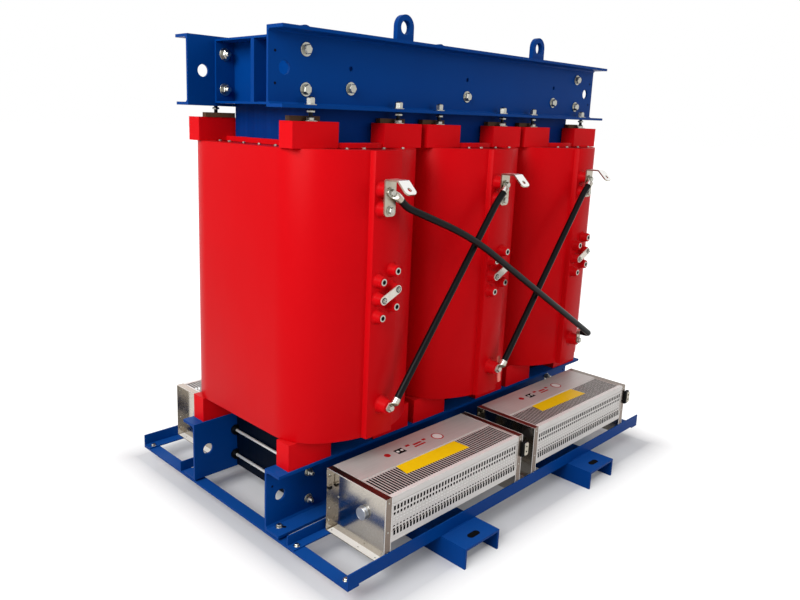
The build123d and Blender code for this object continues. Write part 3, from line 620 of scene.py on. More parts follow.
EASED = ((0.0, 3.0), (0.9, 0.9), (3.0, 0.0))
LEVELS = [(COIL_BOTTOM + rise, inset) for rise, inset in EASED]
LEVELS += [(COIL_TOP - rise, inset) for rise, inset in EASED[::-1]]
for letter, phase in zip("abc", PHASES):
    coil = Mould()
    rings = [[(phase + x, y, z) for x, y in coil_plan(inset)] for z, inset in LEVELS]
    rings += [[(phase + x, y, z) for x, y in coil_plan(WALL - inset)] for z, inset in LEVELS[::-1]]
    coil.rings(rings, closed=True)
    coil.rings([[(phase + x, y, z) for x, y in block_plan(inset)] for z, inset in LEVELS])
    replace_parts(piece(f"cast_coil_{letter}", coil, red_resin, "red_resin"), f"hv_coil_{letter}")
print("cast coils:", added[-3:])

# %% [markdown]
# ## Cast bosses
# Each terminal sits on a cast boss: a short cone of resin with a generous fillet at its root, because a
# sharp root would crack. A turned profile gives both. A brass or steel insert with a threaded hole is
# cast into its end, made as a ring round a dark disc.

# %% Bosses and inserts
def boss(mould, x, z, radius, length):
    root = radius + 9
    profile = [(0, root), (1.5, root - 2.5), (4, radius + 4.5), (8, radius + 2.8)]
    profile += [(length - 3, radius + 0.4), (length - 0.8, radius - 0.8), (length, radius - 2.6)]
    mould.turned((x, -BLOCK_FACE, z), OUTWARDS, profile, 32)


TAP_X, TAP_TOP, TAP_STEP, TAP_STAGGER = 34, 1041, 64, 31
TAP_BOSS, TERMINAL_BOSS, LOWER_BOSS = (19, 30), (22, 35), (26, 41)
TERMINAL_X, TERMINAL_HEIGHTS = -31, (1325, 1258)
LOWER_X, LOWER_HEIGHT = 5, 548


def tap_places(phase):
    """The staggered tap bosses of a coil: right column, then left column."""
    for row in range(3):
        height = TAP_TOP - TAP_STEP * row
        yield phase + TAP_X, height
        yield phase - TAP_X, height - TAP_STAGGER


bosses, inserts, insert_holes = Mould(), Mould(), Mould()
for phase in PHASES:
    for height in TERMINAL_HEIGHTS:
        boss(bosses, phase + TERMINAL_X, height, *TERMINAL_BOSS)
    boss(bosses, phase + LOWER_X, LOWER_HEIGHT, *LOWER_BOSS)
    for x, z in tap_places(phase):
        boss(bosses, x, z, *TAP_BOSS)
        seat = (x, -BLOCK_FACE - TAP_BOSS[1] + 0.5, z)
        washer(inserts, seat, OUTWARDS, 12.8, 1.5, 8.2)
        insert_holes.disc(seat, OUTWARDS, 8.3, 0.9)
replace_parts(piece("cast_bosses", bosses, red_resin, "red_resin"), "coil_bosses")
piece("boss_inserts", inserts, zinc, "tinned_metal")
piece("boss_insert_holes", insert_holes, hole_shadow, "tinned_metal")
print("bosses and inserts:", added[-3:])

# %% [markdown]
# ## Bent bars
# A terminal bar is flat tinned copper, 6 mm thick, with rounded corners, bent over a radius twice: up the
# bosses, outwards, then down at a slant to a drilled tab. It is drawn flat first, as rows of a width, and
# then laid along its bent path, which is how it is made in the workshop as well.

# %% Lay a flat bar along a bent path
def rounded_path(points, radii, arc_steps=7):
    """The corners of a path replaced by arcs; radii belong to the inner points."""
    points = [Vector(p) for p in points]
    path = [points[0]]
    for before, corner, after, radius in zip(points, points[1:], points[2:], radii):
        a, b = (before - corner).normalized(), (after - corner).normalized()
        turn = math.pi - a.angle(b)
        reach = radius * math.tan(turn / 2)
        centre = corner + (a + b).normalized() * radius / math.cos(turn / 2)
        start, end = corner + a * reach - centre, corner + b * reach - centre
        for step in range(arc_steps + 1):
            share = step / arc_steps
            first, second = math.sin((1 - share) * turn), math.sin(share * turn)
            path.append(centre + (start * first + end * second) / math.sin(turn))
    return path + [points[-1]]


def length_of(path):
    return sum((b - a).length for a, b in zip(path, path[1:]))


def along(path, distance):
    """The point and direction at a distance along a path."""
    for a, b in zip(path, path[1:]):
        step = (b - a).length
        if distance <= step or b is path[-1]:
            return a + (b - a).normalized() * distance, (b - a).normalized()
        distance -= step


def corner_rows(start, half, radius, into):
    """Rows that round off two corners of a bar: distance along it, and half its width there."""
    shares = (0.0, 0.08, 0.3, 0.62, 1.0)
    return [(start + into * radius * s, half - radius + radius * math.sqrt(1 - (1 - s) ** 2)) for s in shares]


def bent_bar(mould, path, rows, thick, across=Vector((1, 0, 0))):
    """A flat bar along a path in the plane square to across; the path is its back."""
    sections = []
    for distance, half in rows:
        point, direction = along(path, distance)
        out = across.cross(direction).normalized() * thick
        ends = (point - across * half, point + across * half)
        sections.append([ends[0], ends[1], ends[1] + out, ends[0] + out])
    mould.rings(sections)


print("a path with arcs, its length, and a bar laid along it")

# %% [markdown]
# ## A drilled tab
# The slanted tab carries the customer's cable, so it has a real hole. Rays from the hole's middle meet the
# tab's outline, cut corners included, and each ray gives one strip of the flat face round the hole.

# %% The tab with its hole
def drilled_tab(mould, origin, along_tab, across, thick, length, half, hole_at, hole_radius, cut):
    """A flat end of a bar from its joint to its tip, with cut corners and a round hole."""
    out = across.cross(along_tab).normalized() * thick
    limits = [(1, 0, length - hole_at), (-1, 0, hole_at), (0, 1, half), (0, -1, half)]
    slope = math.sqrt(0.5)
    limits += [(slope, s * slope, (length - hole_at + half - cut) * slope) for s in (-1, 1)]
    joint_corners = {math.atan2(s * half, -hole_at) % math.tau for s in (-1, 1)}
    angles = sorted({math.tau * i / 32 for i in range(32)} | joint_corners)
    rings = [[], [], [], []]
    for angle in angles:
        u, w = math.cos(angle), math.sin(angle)
        reach = min(d / (a * u + b * w) for a, b, d in limits if a * u + b * w > 1e-6)
        for ring, radius, lift in ((0, hole_radius, 0), (1, reach, 0), (2, reach, 1), (3, hole_radius, 1)):
            point = origin + along_tab * (hole_at + radius * u) + across * radius * w
            rings[ring].append(point + out * lift)
    mould.rings(rings, closed=True)


X_AXIS = Vector((1, 0, 0))
BAR_BACK, BAR_TOP, BAR_BOTTOM, BAR_REACH = 486.0, 1364.0, 1238.0, 62.0
BAR_HALF, BAR_THICK = 26, 6.0
TAB, TAB_ROOT, TAB_HOLE_AT, TAB_HOLE, TAB_CUT = 60.0, 16, 24.0, 8.5, 10
slant = Vector((0, -1, -1)).normalized()
bars = Mould()
for phase in PHASES:
    x = phase + TERMINAL_X
    out = Vector((x, -BAR_BACK - BAR_REACH, BAR_TOP))
    root = out + slant * TAB_ROOT
    path = rounded_path([(x, -BAR_BACK, BAR_BOTTOM), (x, -BAR_BACK, BAR_TOP), out, root], (8, 7))
    total = length_of(path)
    rows = corner_rows(0, BAR_HALF, 14, 1)
    rows += [(total * i / 60, BAR_HALF) for i in range(8, 60)] + [(total, BAR_HALF)]
    bent_bar(bars, path, rows, BAR_THICK, X_AXIS)
    size = (TAB - TAB_ROOT, BAR_HALF, TAB_HOLE_AT, TAB_HOLE, TAB_CUT)
    drilled_tab(bars, root, slant, X_AXIS, BAR_THICK, *size)
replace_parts(piece("bent_terminal_bars", bars, tin, "tinned_metal"), "hv_terminal_bars")
print("terminal bars:", added[-1])

# %% [markdown]
# ## Tap links and their bolts
# A short bar joins two taps and sets the ratio. Two hexagon bolts hold it into the inserts, each over a
# spring washer painted near black, as painted shade round the head, and with a small socket in its head
# painted as a dark hexagon. Larger bolts hold the terminal bars to their bosses. The middle coil has one
# more short bar under its lower lug, whose colour has the red of the resin painted in: a painted reflection.

# %% Tap links, bolts and the short bar of the middle coil
LINK_BACK, LINK_HALF, LINK_THICK, SPRING_WASHER = BLOCK_FACE + 31, 15, 4.0, 1.2
LEAD_BOLT = 1319
LUG_FRONT = BAR_BACK + 11
links, terminal_bolts, sockets, short_bar = Mould(), Mould(), Mould(), Mould()
for phase in PHASES:
    height = TAP_TOP - TAP_STEP
    right_end = Vector((phase + TAP_X, -LINK_BACK, height))
    left_end = Vector((phase - TAP_X, -LINK_BACK, height - TAP_STAGGER))
    run = (left_end - right_end).normalized()
    path = [right_end - run * LINK_HALF, left_end + run * LINK_HALF]
    total = length_of(path)
    rows = corner_rows(0, LINK_HALF, 14, 1) + corner_rows(total, LINK_HALF, 14, -1)[::-1]
    bent_bar(links, path, rows, LINK_THICK, run.cross(Vector(OUTWARDS)))
    for point in (right_end, left_end):
        face = point + Vector(OUTWARDS) * LINK_THICK
        sockets.disc(face, OUTWARDS, 11.4, SPRING_WASHER, 20)
        bolt_head(terminal_bolts, face + Vector(OUTWARDS) * SPRING_WASHER, OUTWARDS, 7.5, phase)
        sockets.disc(face + Vector(OUTWARDS) * 7.3, OUTWARDS, 3.0, 0.5, 6)
    terminal_x, lower_x = phase + TERMINAL_X, phase + LOWER_X
    lower_boss = TERMINAL_HEIGHTS[1]
    bolt_head(terminal_bolts, (terminal_x, -BAR_BACK - BAR_THICK, lower_boss), OUTWARDS, 14, 0.2)
    bolt_head(terminal_bolts, (terminal_x, -LUG_FRONT, LEAD_BOLT), OUTWARDS, 14, 0.6)
    bolt_head(terminal_bolts, (lower_x, -LUG_FRONT, LOWER_HEIGHT), OUTWARDS, 14, 0.1)
rows = corner_rows(0, 10, 8, 1) + corner_rows(118, 10, 8, -1)[::-1]
short_path = [Vector((16, -BAR_BACK, 600)), Vector((31, -BAR_BACK, 483))]
bent_bar(short_bar, short_path, rows, 3.0, Vector((-1, 0, -0.13)).normalized())
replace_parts(piece("tap_link_bars", links, bright_tin, "tinned_metal"), "tap_links")
piece("terminal_bolts", terminal_bolts, zinc, "tinned_metal")
# painted shade: near-black spring washers and sockets round the tap bolts
piece("tap_spring_washers", sockets, black_oxide_and_painted_shade, "tinned_metal")
# painted reflection: the short bar's tin is coloured red
piece("middle_short_bar", short_bar, tin_painted_red_reflection, "tinned_metal")
print("links and bolts:", added[-4:])

# %% [markdown]
# ## Cable lugs
# A lug is copper tube, one end pressed flat and punched for the bolt. The press leaves a smooth passage
# from a flat oval to a circle. A row of ovals gives just that: each station holds its distance from the
# bolt, half its width and thickness, how far its middle is lifted off and how square it is.

# %% Lugs
LEAD_Y = 507.0
CROSSING_Y = LEAD_Y + 32
LEAD_RADIUS, LUG_REACH, PALM_HALF, PALM_THICK, BARREL = 13.0, 42.0, 15, 5.0, 14.4
LUG_STATIONS = [
    (-16, 6, 2.3, 0, 3), (-14.5, 11, 2.5, 0, 4), (-11, 14, 2.5, 0, 6), (-4, PALM_HALF, 2.5, 0, 6),
    (8, PALM_HALF, 2.5, 0, 6), (12, PALM_HALF, 4.5, 1.5, 4), (15.5, PALM_HALF, 9, 7, 3),
    (19, BARREL, 13, 11.5, 2.2), (22, BARREL, BARREL, 12.5, 2), (41.4, BARREL, BARREL, 12.5, 2),
    (LUG_REACH, 13.6, 13.6, 12.5, 2),
]


def oval(centre, wide, thick, side, front, steps=28, square=2.0):
    """A ring between an ellipse and a rounded oblong, square being 2 for the ellipse."""
    ring = []
    for i in range(steps):
        c, s = math.cos(math.tau * i / steps), math.sin(math.tau * i / steps)
        u = math.copysign(abs(c) ** (2 / square), c) * wide
        w = math.copysign(abs(s) ** (2 / square), s) * thick
        ring.append(centre + side * u + front * w)
    return ring


def straight_lug(mould, bolt, towards):
    """Palm round the bolt, then the passage to a barrel that takes the cable."""
    x, z = bolt
    run = Vector((towards[0] - x, 0, towards[1] - z)).normalized()
    out = Vector(OUTWARDS)
    side = run.cross(out)
    flat = Vector((x, -BAR_BACK - BAR_THICK - PALM_THICK / 2, z))
    rings = []
    for along, wide, thick, lift, square in LUG_STATIONS:
        rings.append(oval(flat + run * along + out * lift, wide, thick, side, out, square=square))
    mould.rings(rings)


def folded_lug(mould, bolt):
    """A palm with its barrel square to it, over the bolt."""
    x, z = bolt
    length = LUG_REACH + 2 * PALM_HALF
    rows = corner_rows(0, PALM_HALF, 12, 1) + corner_rows(length, PALM_HALF, 12, -1)[::-1]
    palm = [Vector((x, -BAR_BACK - BAR_THICK, z + rise)) for rise in (-PALM_HALF, LUG_REACH + PALM_HALF)]
    bent_bar(mould, palm, rows, PALM_THICK, X_AXIS)
    barrel = [(0, BARREL), (9.4, BARREL), (10, 13.6)]
    mould.turned((x, -LUG_FRONT, z + LUG_REACH), OUTWARDS, barrel, 28)


print("a lug is skinned over", len(LUG_STATIONS), "ovals")

# %% [markdown]
# ## Delta leads
# Three insulated cables join each upper terminal to the next coil's lower one. They are stiff, short of
# slack and hang almost straight, with one soft bend. Each is a round section carried along its path. The
# frame at each point is turned only as far as the path turns, so that the skin doesn't twist. Two of them
# run in line with both their lugs. The longest crosses in front of the others and bends back into the
# barrel of a folded lug.

# %% Carry a round section along a path
def cable(mould, path, radius, sides=24):
    runs = [(b - a).normalized() for a, b in zip(path, path[1:])]
    directions = [runs[0], *((a + b).normalized() for a, b in zip(runs, runs[1:])), runs[-1]]
    side = runs[0].orthogonal().normalized()
    angles = [math.tau * i / sides for i in range(sides)]
    rings = []
    for point, direction in zip(path, directions):
        side = (side - direction * side.dot(direction)).normalized()
        other = direction.cross(side)
        rings.append([point + radius * (math.cos(a) * side + math.sin(a) * other) for a in angles])
    mould.rings(rings)


def bend_radii(points, share=0.46):
    """The widest arc that each corner's straight runs allow."""
    radii = []
    for before, corner, after in zip(points, points[1:], points[2:]):
        into, out = corner - before, after - corner
        radii.append(share * min(into.length, out.length) / math.tan(into.angle(out) / 2))
    return radii


def lug_end(bolt, towards):
    """Where the cable enters a lug that points at a place."""
    run = Vector((towards[0] - bolt[0], towards[1] - bolt[1])).normalized() * LUG_REACH
    return bolt[0] + run.x, bolt[1] + run.y


print("a cable enters its lug", LUG_REACH, "mm from the bolt")

# %% Leads and their lugs
lugs = Mould()


def hang_lead(name, points, last_radius=None):
    points = [Vector(p) for p in points]
    radii = bend_radii(points)
    if last_radius:
        radii[-1] = last_radius
    path = rounded_path(points, radii, 18)
    mould = Mould()
    cable(mould, path, LEAD_RADIUS)
    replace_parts(piece(f"smooth_{name}", mould, cable_jacket, "black_cable"), name)
    print(name, "is", round(length_of(path)), "mm long")


def terminals(upper, lower):
    """The bolts between which the lead of two coils runs, as (x, z)."""
    return (upper + TERMINAL_X, LEAD_BOLT), (lower + LOWER_X, LOWER_HEIGHT)


LEFT, MIDDLE, RIGHT = PHASES
for name, upper, lower in (("delta_lead_b_a", MIDDLE, LEFT), ("delta_lead_c_b", RIGHT, MIDDLE)):
    first, last = terminals(upper, lower)
    bend = (first[0] - 69, first[1] - 63)
    ends = [lug_end(first, bend), bend, lug_end(last, bend)]
    hang_lead(name, [(x, -LEAD_Y, z) for x, z in ends])
    straight_lug(lugs, first, bend)
    straight_lug(lugs, last, bend)

first, last = terminals(LEFT, RIGHT)
bend = (first[0] + 71, first[1] - 55)
start = lug_end(first, bend)
fold = (last[0], -CROSSING_Y - 16, last[1] + LUG_REACH)
hang_lead("delta_lead_a_c", [
    (start[0], -LEAD_Y, start[1]), (bend[0], -LEAD_Y, bend[1]), (-286, -CROSSING_Y, 1140),
    fold, (fold[0], -BAR_BACK - 21, fold[2]),
], 30)
straight_lug(lugs, first, bend)
folded_lug(lugs, last)
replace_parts(piece("pressed_lugs", lugs, tin, "tinned_metal"), "lead_lugs")
print("lugs:", added[-1])

# %% [markdown]
# ## On and between the coils
# A low-voltage coil ends in a resin rim with a few screws for the temperature probes. Strips of glass-fibre
# board keep the two coils apart, so that air can rise between them, and packing boards lie on the blocks
# where the yoke passes.

# %% Screws, duct strips and packing boards
RIM, RIM_OUTER, RIM_INNER, RIM_EDGE = 18.0, 107, 138, 1.5
RIM_WALL = [
    (RIM_OUTER, 0), (RIM_OUTER, RIM - RIM_EDGE), (RIM_OUTER + RIM_EDGE, RIM),
    (RIM_INNER - RIM_EDGE, RIM), (RIM_INNER, RIM - RIM_EDGE), (RIM_INNER, 0),
]
FRONT_SCREWS, SIDE_SCREWS = 372, 245
STRIP_X, STRIP_HALF, STRIP_FOOT, STRIP_HEAD = 213, 18.4, 436, 1448
BOARD_STARTS, BOARD_LONG, BOARD_NEAR, BOARD_FAR, BOARD_THICK = (-280, 137), 130, 241, 262, 17
rim_screws, strips, boards, rims = Mould(), Mould(), Mould(), Mould()
for phase in PHASES:
    wall = [[(phase + x, y, COIL_TOP + rise) for x, y in coil_plan(inset)] for inset, rise in RIM_WALL]
    rims.rings(wall, closed=True)
    for side in (-1, 1):
        for offset in (-125, -45, 50, 145):
            bolt_head(rim_screws, (phase + offset, side * FRONT_SCREWS, COIL_TOP), UPWARDS, 7, offset)
        for offset in (-144, -50, 43, 137, 198):
            bolt_head(rim_screws, (phase + side * SIDE_SCREWS, offset, COIL_TOP), UPWARDS, 7, offset)
        for y in (-150, -75, 0, 75, 150):
            x = phase + side * STRIP_X
            strips.block((x - STRIP_HALF, y - 5, STRIP_FOOT), (x + STRIP_HALF, y + 5, STRIP_HEAD))
        for start in BOARD_STARTS:
            low, high = sorted((side * BOARD_NEAR, side * BOARD_FAR))
            x, top = phase + start, BLOCK_TOP + BOARD_THICK
            boards.block((x, low, BLOCK_TOP), (x + BOARD_LONG, high, top))
piece("low_voltage_rims", rims, red_block, "lv_winding")
piece("rim_screws", rim_screws, zinc, "zinc_steel")
piece("duct_strips", strips, resin_board, "lv_winding")
piece("packing_boards", boards, packing_board, "red_block")
print("on the coils:", added[-4:])

# %% [markdown]
# ## Bolts of the base frame
# Rails lie on two channel feet, and flat strips tie them at the ends. Small bolts hold them, heads up.

# %% Rail and foot bolts
RAIL_BOLTS, RAIL_ROWS, RAIL_TOP = (971, 494, 375), (642, 386), 85
CLAMP_BOLTS, CLAMP_ROW = (394, 474), 283
FOOT_X, FOOT_TOP, SLOT_Y, SLOT_SHIFT, SLOT_HALF = 434.5, 80.0, 747, 17, 13
rail_bolts = Mould()
for side_x in (-1, 1):
    for side_y in (-1, 1):
        for x in RAIL_BOLTS:
            for turn, y in enumerate(RAIL_ROWS):
                bolt_head(rail_bolts, (side_x * x, side_y * y, RAIL_TOP), UPWARDS, 10, x + turn)
        for x in CLAMP_BOLTS:
            bolt_head(rail_bolts, (side_x * x, side_y * CLAMP_ROW, LOWER_FLANGE), UPWARDS, 16, x)
# painted shade: dark ovals on the feet, larger than the slots, for the shade under the channel
half_turn = [math.pi * i / 12 for i in range(13)]
ends = [(SLOT_SHIFT, a) for a in half_turn] + [(-SLOT_SHIFT, math.pi + a) for a in half_turn]
mouth = [(shift + SLOT_HALF * math.sin(a), SLOT_HALF * math.cos(a)) for shift, a in ends]
slots = Mould()
for x in (-FOOT_X, FOOT_X):
    for y in (-SLOT_Y, SLOT_Y):
        slots.rings([[(x + u, y + v, z) for u, v in mouth] for z in (FOOT_TOP, FOOT_TOP + INK)])
piece("foot_slot_painted_shade", slots, hole_shadow, "blue_paint")
piece("rail_bolts", rail_bolts, zinc, "zinc_steel")
print("on the base frame:", added[-2:])

# %% [markdown]
# ## Lifting lugs
# The clamps are lifted by four plates with an eye that takes a shackle. The plate is drawn by rays from the
# middle of the eye to its outline, so that eye and outline keep the same number of points and one skin
# closes it.

# %% Lifting lugs
LUG_FOOT, LUG_TOP, LUG_HALF, LUG_THICK, EYE_HEIGHT, EYE = UPPER + 250, 92.0, 43.0, 20.0, 47.0, 24.5
LUG_X = 429
LUG_PLACES = [(x, y) for x in (-LUG_X, LUG_X) for y in (-FLANGE, FLANGE)]
shoulder = LUG_TOP - EYE_HEIGHT - LUG_HALF
rises = [-EYE_HEIGHT, -34, -22, -12]
arc = [math.pi * i / 28 for i in range(29)]
outline = [(LUG_HALF, w) for w in rises]
outline += [(LUG_HALF * math.cos(a), shoulder + LUG_HALF * math.sin(a)) for a in arc]
outline += [(-LUG_HALF, w) for w in rises[::-1]] + [(u, -EYE_HEIGHT) for u in (-28, -12, 0, 12, 28)]
eye = [(u / math.hypot(u, w) * EYE, w / math.hypot(u, w) * EYE) for u, w in outline]
centre_z = LUG_FOOT + EYE_HEIGHT
lug_plates = Mould()
for x, y in LUG_PLACES:
    front, back = y - LUG_THICK / 2, y + LUG_THICK / 2
    layers = [(eye, front), (outline, front), (outline, back), (eye, back)]
    skin = [[(x + u, depth, centre_z + w) for u, w in ring] for ring, depth in layers]
    lug_plates.rings(skin, closed=True)
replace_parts(piece("eyed_lifting_lugs", lug_plates, blue_enamel, "blue_paint"), "lifting_lugs")
print("lifting lugs:", added[-1])

# %% [markdown]
# ## Weld beads
# Lifting lugs are welded on all round, and the rails are tacked to the feet. A bead is a thin rope of
# metal with ripples, laid along the joint. The ripples are rings whose radius rises and falls.

# %% Weld beads
def bead(mould, start, end, radius=3.5, ripple=6.0):
    start, end = Vector(start), Vector(end)
    run = (end - start).length
    rows = [(0.0, radius * 0.4)]
    steps = int(run / ripple) * 2
    rows += [(run * (i + 0.5) / steps, radius * (1.0 if i % 2 else 0.86)) for i in range(steps)]
    mould.turned(start, end - start, rows + [(run, radius * 0.4)], 10)


TACK, TACK_ROWS, THIN_BEAD = 60, (628, 678, 320), 3.0
BEAM_WEB, BEAM_SEAMS, SEAM_START, SEAM_END = 798, (1600, 1814), 14, 70
beads = Mould()
half = LUG_THICK / 2
turns = ((-LUG_HALF, -half), (LUG_HALF, -half), (LUG_HALF, half), (-LUG_HALF, half))
for x, y in LUG_PLACES:
    corners = [(x + u, y + v, LUG_FOOT) for u, v in turns]
    for start, end in zip(corners, corners[1:] + corners[:1]):
        bead(beads, start, end)
for x in (-FOOT_X, FOOT_X):
    for side in (-1, 1):
        for edge in TACK_ROWS:
            start, end = [(x + reach, side * edge, FOOT_TOP) for reach in (-TACK, TACK)]
            bead(beads, start, end, THIN_BEAD)
for end in (-1, 1):
    near, far = end * (BEAM_WEB + SEAM_START), end * (BEAM_WEB + SEAM_END)
    for z in BEAM_SEAMS:
        for y in (-10, 10):
            bead(beads, (near, y, z), (far, y, z), THIN_BEAD)
piece("weld_beads", beads, blue_enamel, "blue_paint")
print("weld beads:", added[-1])

# %% [markdown]
# ## Perforated fan sheets
# A fan draws air through its front screen and blows it out of its top grille. Both are punched sheet. A
# grid of cuts along and across the sheet makes cells, every second cell of every second row is a hole, and
# only cells round the holes get faces, with walls where a cell meets a hole.

# %% Punch a sheet
def punched(mould, cuts_u, cuts_v, at, thick):
    """A sheet whose odd cells, counted both ways from 0, are holes; at gives the place of a point."""
    wide, high = len(cuts_u), len(cuts_v)
    corners = [at(u, v, t) for t in (0.0, thick) for v in cuts_v for u in cuts_u]

    def solid(i, j):
        return 0 <= i < wide - 1 and 0 <= j < high - 1 and not (i % 2 and j % 2)

    faces = []
    for j in range(high - 1):
        for i in range(wide - 1):
            if not solid(i, j):
                continue
            a = j * wide + i
            near = (a, a + 1, a + wide + 1, a + wide)
            faces += [near, tuple(c + wide * high for c in near[::-1])]
            sides = zip(near, near[1:] + near[:1])
            for (di, dj), (p, q) in zip(((0, -1), (1, 0), (0, 1), (-1, 0)), sides):
                if not solid(i + di, j + dj):
                    faces.append((p, q, q + wide * high, p + wide * high))
    mould.add(corners, faces)


def cuts(start, end, pitch, hole):
    """Cuts for a row of holes of one width, centred between two ends."""
    count = int((end - start - pitch + hole) / pitch)
    first = (start + end - (count - 1) * pitch) / 2
    row = [start]
    for i in range(count):
        row += [first + i * pitch - hole / 2, first + i * pitch + hole / 2]
    return row + [end]


print("holes of 8 mm every 13 mm, in 100 mm:", len(cuts(0, 100, 13, 8)) // 2 - 1)

# %% Four fans from one
FAN_SHIFT = 873
FANS = {
    "front_left": lambda p: (p[0], p[1], p[2]),
    "front_right": lambda p: (p[0] + FAN_SHIFT, p[1], p[2]),
    "rear_right": lambda p: (-p[0], -p[1], p[2]),
    "rear_left": lambda p: (-p[0] - FAN_SHIFT, -p[1], p[2]),
}


def on_all_fans(draw, *pieces):
    """Pieces that are drawn at the front left fan and set down on all four.

    draw is told 1 for a front fan and -1 for a rear one, and gets a mould for each piece.
    """
    moulds = [Mould() for _ in pieces]
    for place, move in FANS.items():
        drawn = [Mould() for _ in pieces]
        draw(1 if place.startswith("front") else -1, *drawn)
        for mould, part in zip(moulds, drawn):
            mould.add([move(c) for c in part.corners], part.faces)
    made = [piece(name, mould, *looks) for mould, (name, *looks) in zip(moulds, pieces)]
    print("on all four fans:", added[-len(made):])
    return made


print("fans:", ", ".join(FANS), "with", FAN_SHIFT, "mm from one to the next")

# %% Grilles and screens
LEFT_WEB, RIGHT_WEB = -799.0, -74.0
grille_u = cuts(LEFT_WEB, RIGHT_WEB, 13.4, 8.2)
grille_v = [-660, -653, -532, -518]
screen_u = cuts(LEFT_WEB, RIGHT_WEB, 16.5, 9.6)
screen_v = [198, 200, 210, 216, 221, 227, 231, 237, 243, 248, 254, 259, 269, 276, 293, 313]
SLOT_FOOT, STRIP_TOP, FAN_FRONT, SCREEN_FACE, GRILLE_FACE = 186.0, 203.0, 673.0, 671, 328


def draw_sheets(_, grille, screen, feet):
    """The sheets, and dark strips on the strip below the lowest slots: painted shade, so the slots seem to
    run on.
    """
    punched(grille, grille_u, grille_v, lambda u, v, t: (u, v, GRILLE_FACE - t), 0.5)
    punched(screen, screen_u, screen_v, lambda u, v, t: (u, -SCREEN_FACE + t, v), 0.8)
    for low, high in zip(screen_u[1::2], screen_u[2::2]):
        feet.block((low, -FAN_FRONT - 0.25, SLOT_FOOT), (high, -FAN_FRONT, STRIP_TOP))


grilles, screens, _ = on_all_fans(
    draw_sheets,
    ("punched_grilles", fan_sheet, "fan_sheet"),
    ("punched_screens", fan_sheet, "fan_sheet"),
    ("painted_slot_shade", hole_shadow, "fan_sheet"),
)
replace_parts(grilles, "fan_top_grilles")
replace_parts(screens, "fan_front_screens")

# %% [markdown]
# ## Inside a fan
# A black lining is put inside the casing as painted shade, so that the grille's slots look black from
# above. Behind the fine dots of the front screen stands the bright edge of the tongue, the strip that
# parts the air going in from the air coming out.

# %% Painted shade lining and tongues
LINING_THICK = 3.0


# painted shade: black sheets inside the casing
def draw_lining(_, shade_sheets, tongue):
    left, right = LEFT_WEB + 1, RIGHT_WEB - 1
    shade_sheets.block((left, -662, 165.2), (right, -382, 168.5))
    shade_sheets.block((left, -382.5, 168.5), (right, -379.2, 325))
    for low in (LEFT_WEB, RIGHT_WEB - LINING_THICK):
        shade_sheets.block((low, -662, 268), (low + LINING_THICK, -383, 325))
    tongue.block((left, -669.6, 224), (right, -668.8, 256.5))


on_all_fans(
    draw_lining,
    ("painted_shade_lining", black_rubber, "fan_sheet"),
    ("tongues", white_sheet_and_painted_highlight, "fan_sheet"),
)

# %% [markdown]
# ## Impellers
# A cross-flow impeller is a long drum of narrow curved blades between discs, which show dimly behind the
# front screen. Each drum is on a body of its own, so that it can spin, and its blades lean into the flow.

# %% Bladed drums
AXIS_Y, AXIS_Z, DRUM_LEFT, DRUM_RIGHT = -541.0, 217.0, -789.0, -84.0
BLADES, DISCS, DISC_THICK, DISC_RADIUS = 34, 9, 2, 45.8
SHAFT_HOLE, AIR_HOLE, SHAFT_END = 8.0, 31.0, 20
JOURNAL = [(0, 5.5), (1, 6), (26, 6), (26, 9), (34, 9)]


def blade(mould, angle):
    """A curved blade in section, carried from end to end."""
    front, back = [], []
    for step in range(5):
        share = step / 4
        radius = 33 + 12.5 * share
        lean = angle + 0.20 * (1 - share) ** 1.6
        front.append((radius * math.cos(lean), radius * math.sin(lean)))
        back.append((radius * math.cos(lean + 0.022), radius * math.sin(lean + 0.022)))
    section = front + back[::-1]
    mould.rings([[(x, AXIS_Y + a, AXIS_Z + b) for a, b in section] for x in (DRUM_LEFT, DRUM_RIGHT)])


for name, move in FANS.items():
    drum = Mould()
    for i in range(BLADES):
        blade(drum, math.tau * i / BLADES)
    for i in range(DISCS):
        x = DRUM_LEFT + (DRUM_RIGHT - DRUM_LEFT - DISC_THICK) * i / (DISCS - 1)
        hole = SHAFT_HOLE if i in (0, DISCS - 1) else AIR_HOLE
        ring = [(0, hole), (0, DISC_RADIUS), (DISC_THICK, DISC_RADIUS), (DISC_THICK, hole)]
        drum.turned((x, AXIS_Y, AXIS_Z), (1, 0, 0), ring, 40, closed=True)
    for x, inwards in ((DRUM_LEFT - SHAFT_END, 1), (DRUM_RIGHT + SHAFT_END, -1)):
        drum.turned((x, AXIS_Y, AXIS_Z), (inwards, 0, 0), JOURNAL, 20)
    # the blades' dark grey is painted shade
    made = piece(f"bladed_drum_{name}", drum, blade_metal_painted_shade, "impeller_metal", f"rotor_{name}", move)
    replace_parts(made, f"fan_{name}_impeller")
print("bladed drums:", added[-4:])

# %% [markdown]
# ## Fan trays and trim
# The end trays are polished sheet with a turned bearing cap, pop rivets along the flanges and a small
# cable clip. Each fan has a black plug box with a tinned plate in front of one tray. The flange faces get a
# darker film, which is painted shade, and near-white strips along their cut edges and on the tray feet are
# painted highlights. The top panel laps over the grille with a fine step, its front folds are painted near
# white as painted highlights, and it carries plain label stock: a blank yellow strip and a few blank marks,
# with nothing printed on them.

# %% Caps, rivets and clips
TRAY_WEBS = ((-801.0, -1), (-72.0, 1))
CAP = [
    (0, 25), (1.5, 25), (1.5, 22.4), (5, 22.4), (5, 23.4), (7, 23.4), (7, 22.4), (9, 22.4), (9, 23.4),
    (14, 23.4), (15.2, 22.4), (15.2, 20.8), (14.7, 20.4),
]
WEB_RIVETS = ((-410, 220, 4.0), (-410, 106, 4.0), (-640, 312, 5), (-640, 104, 5))


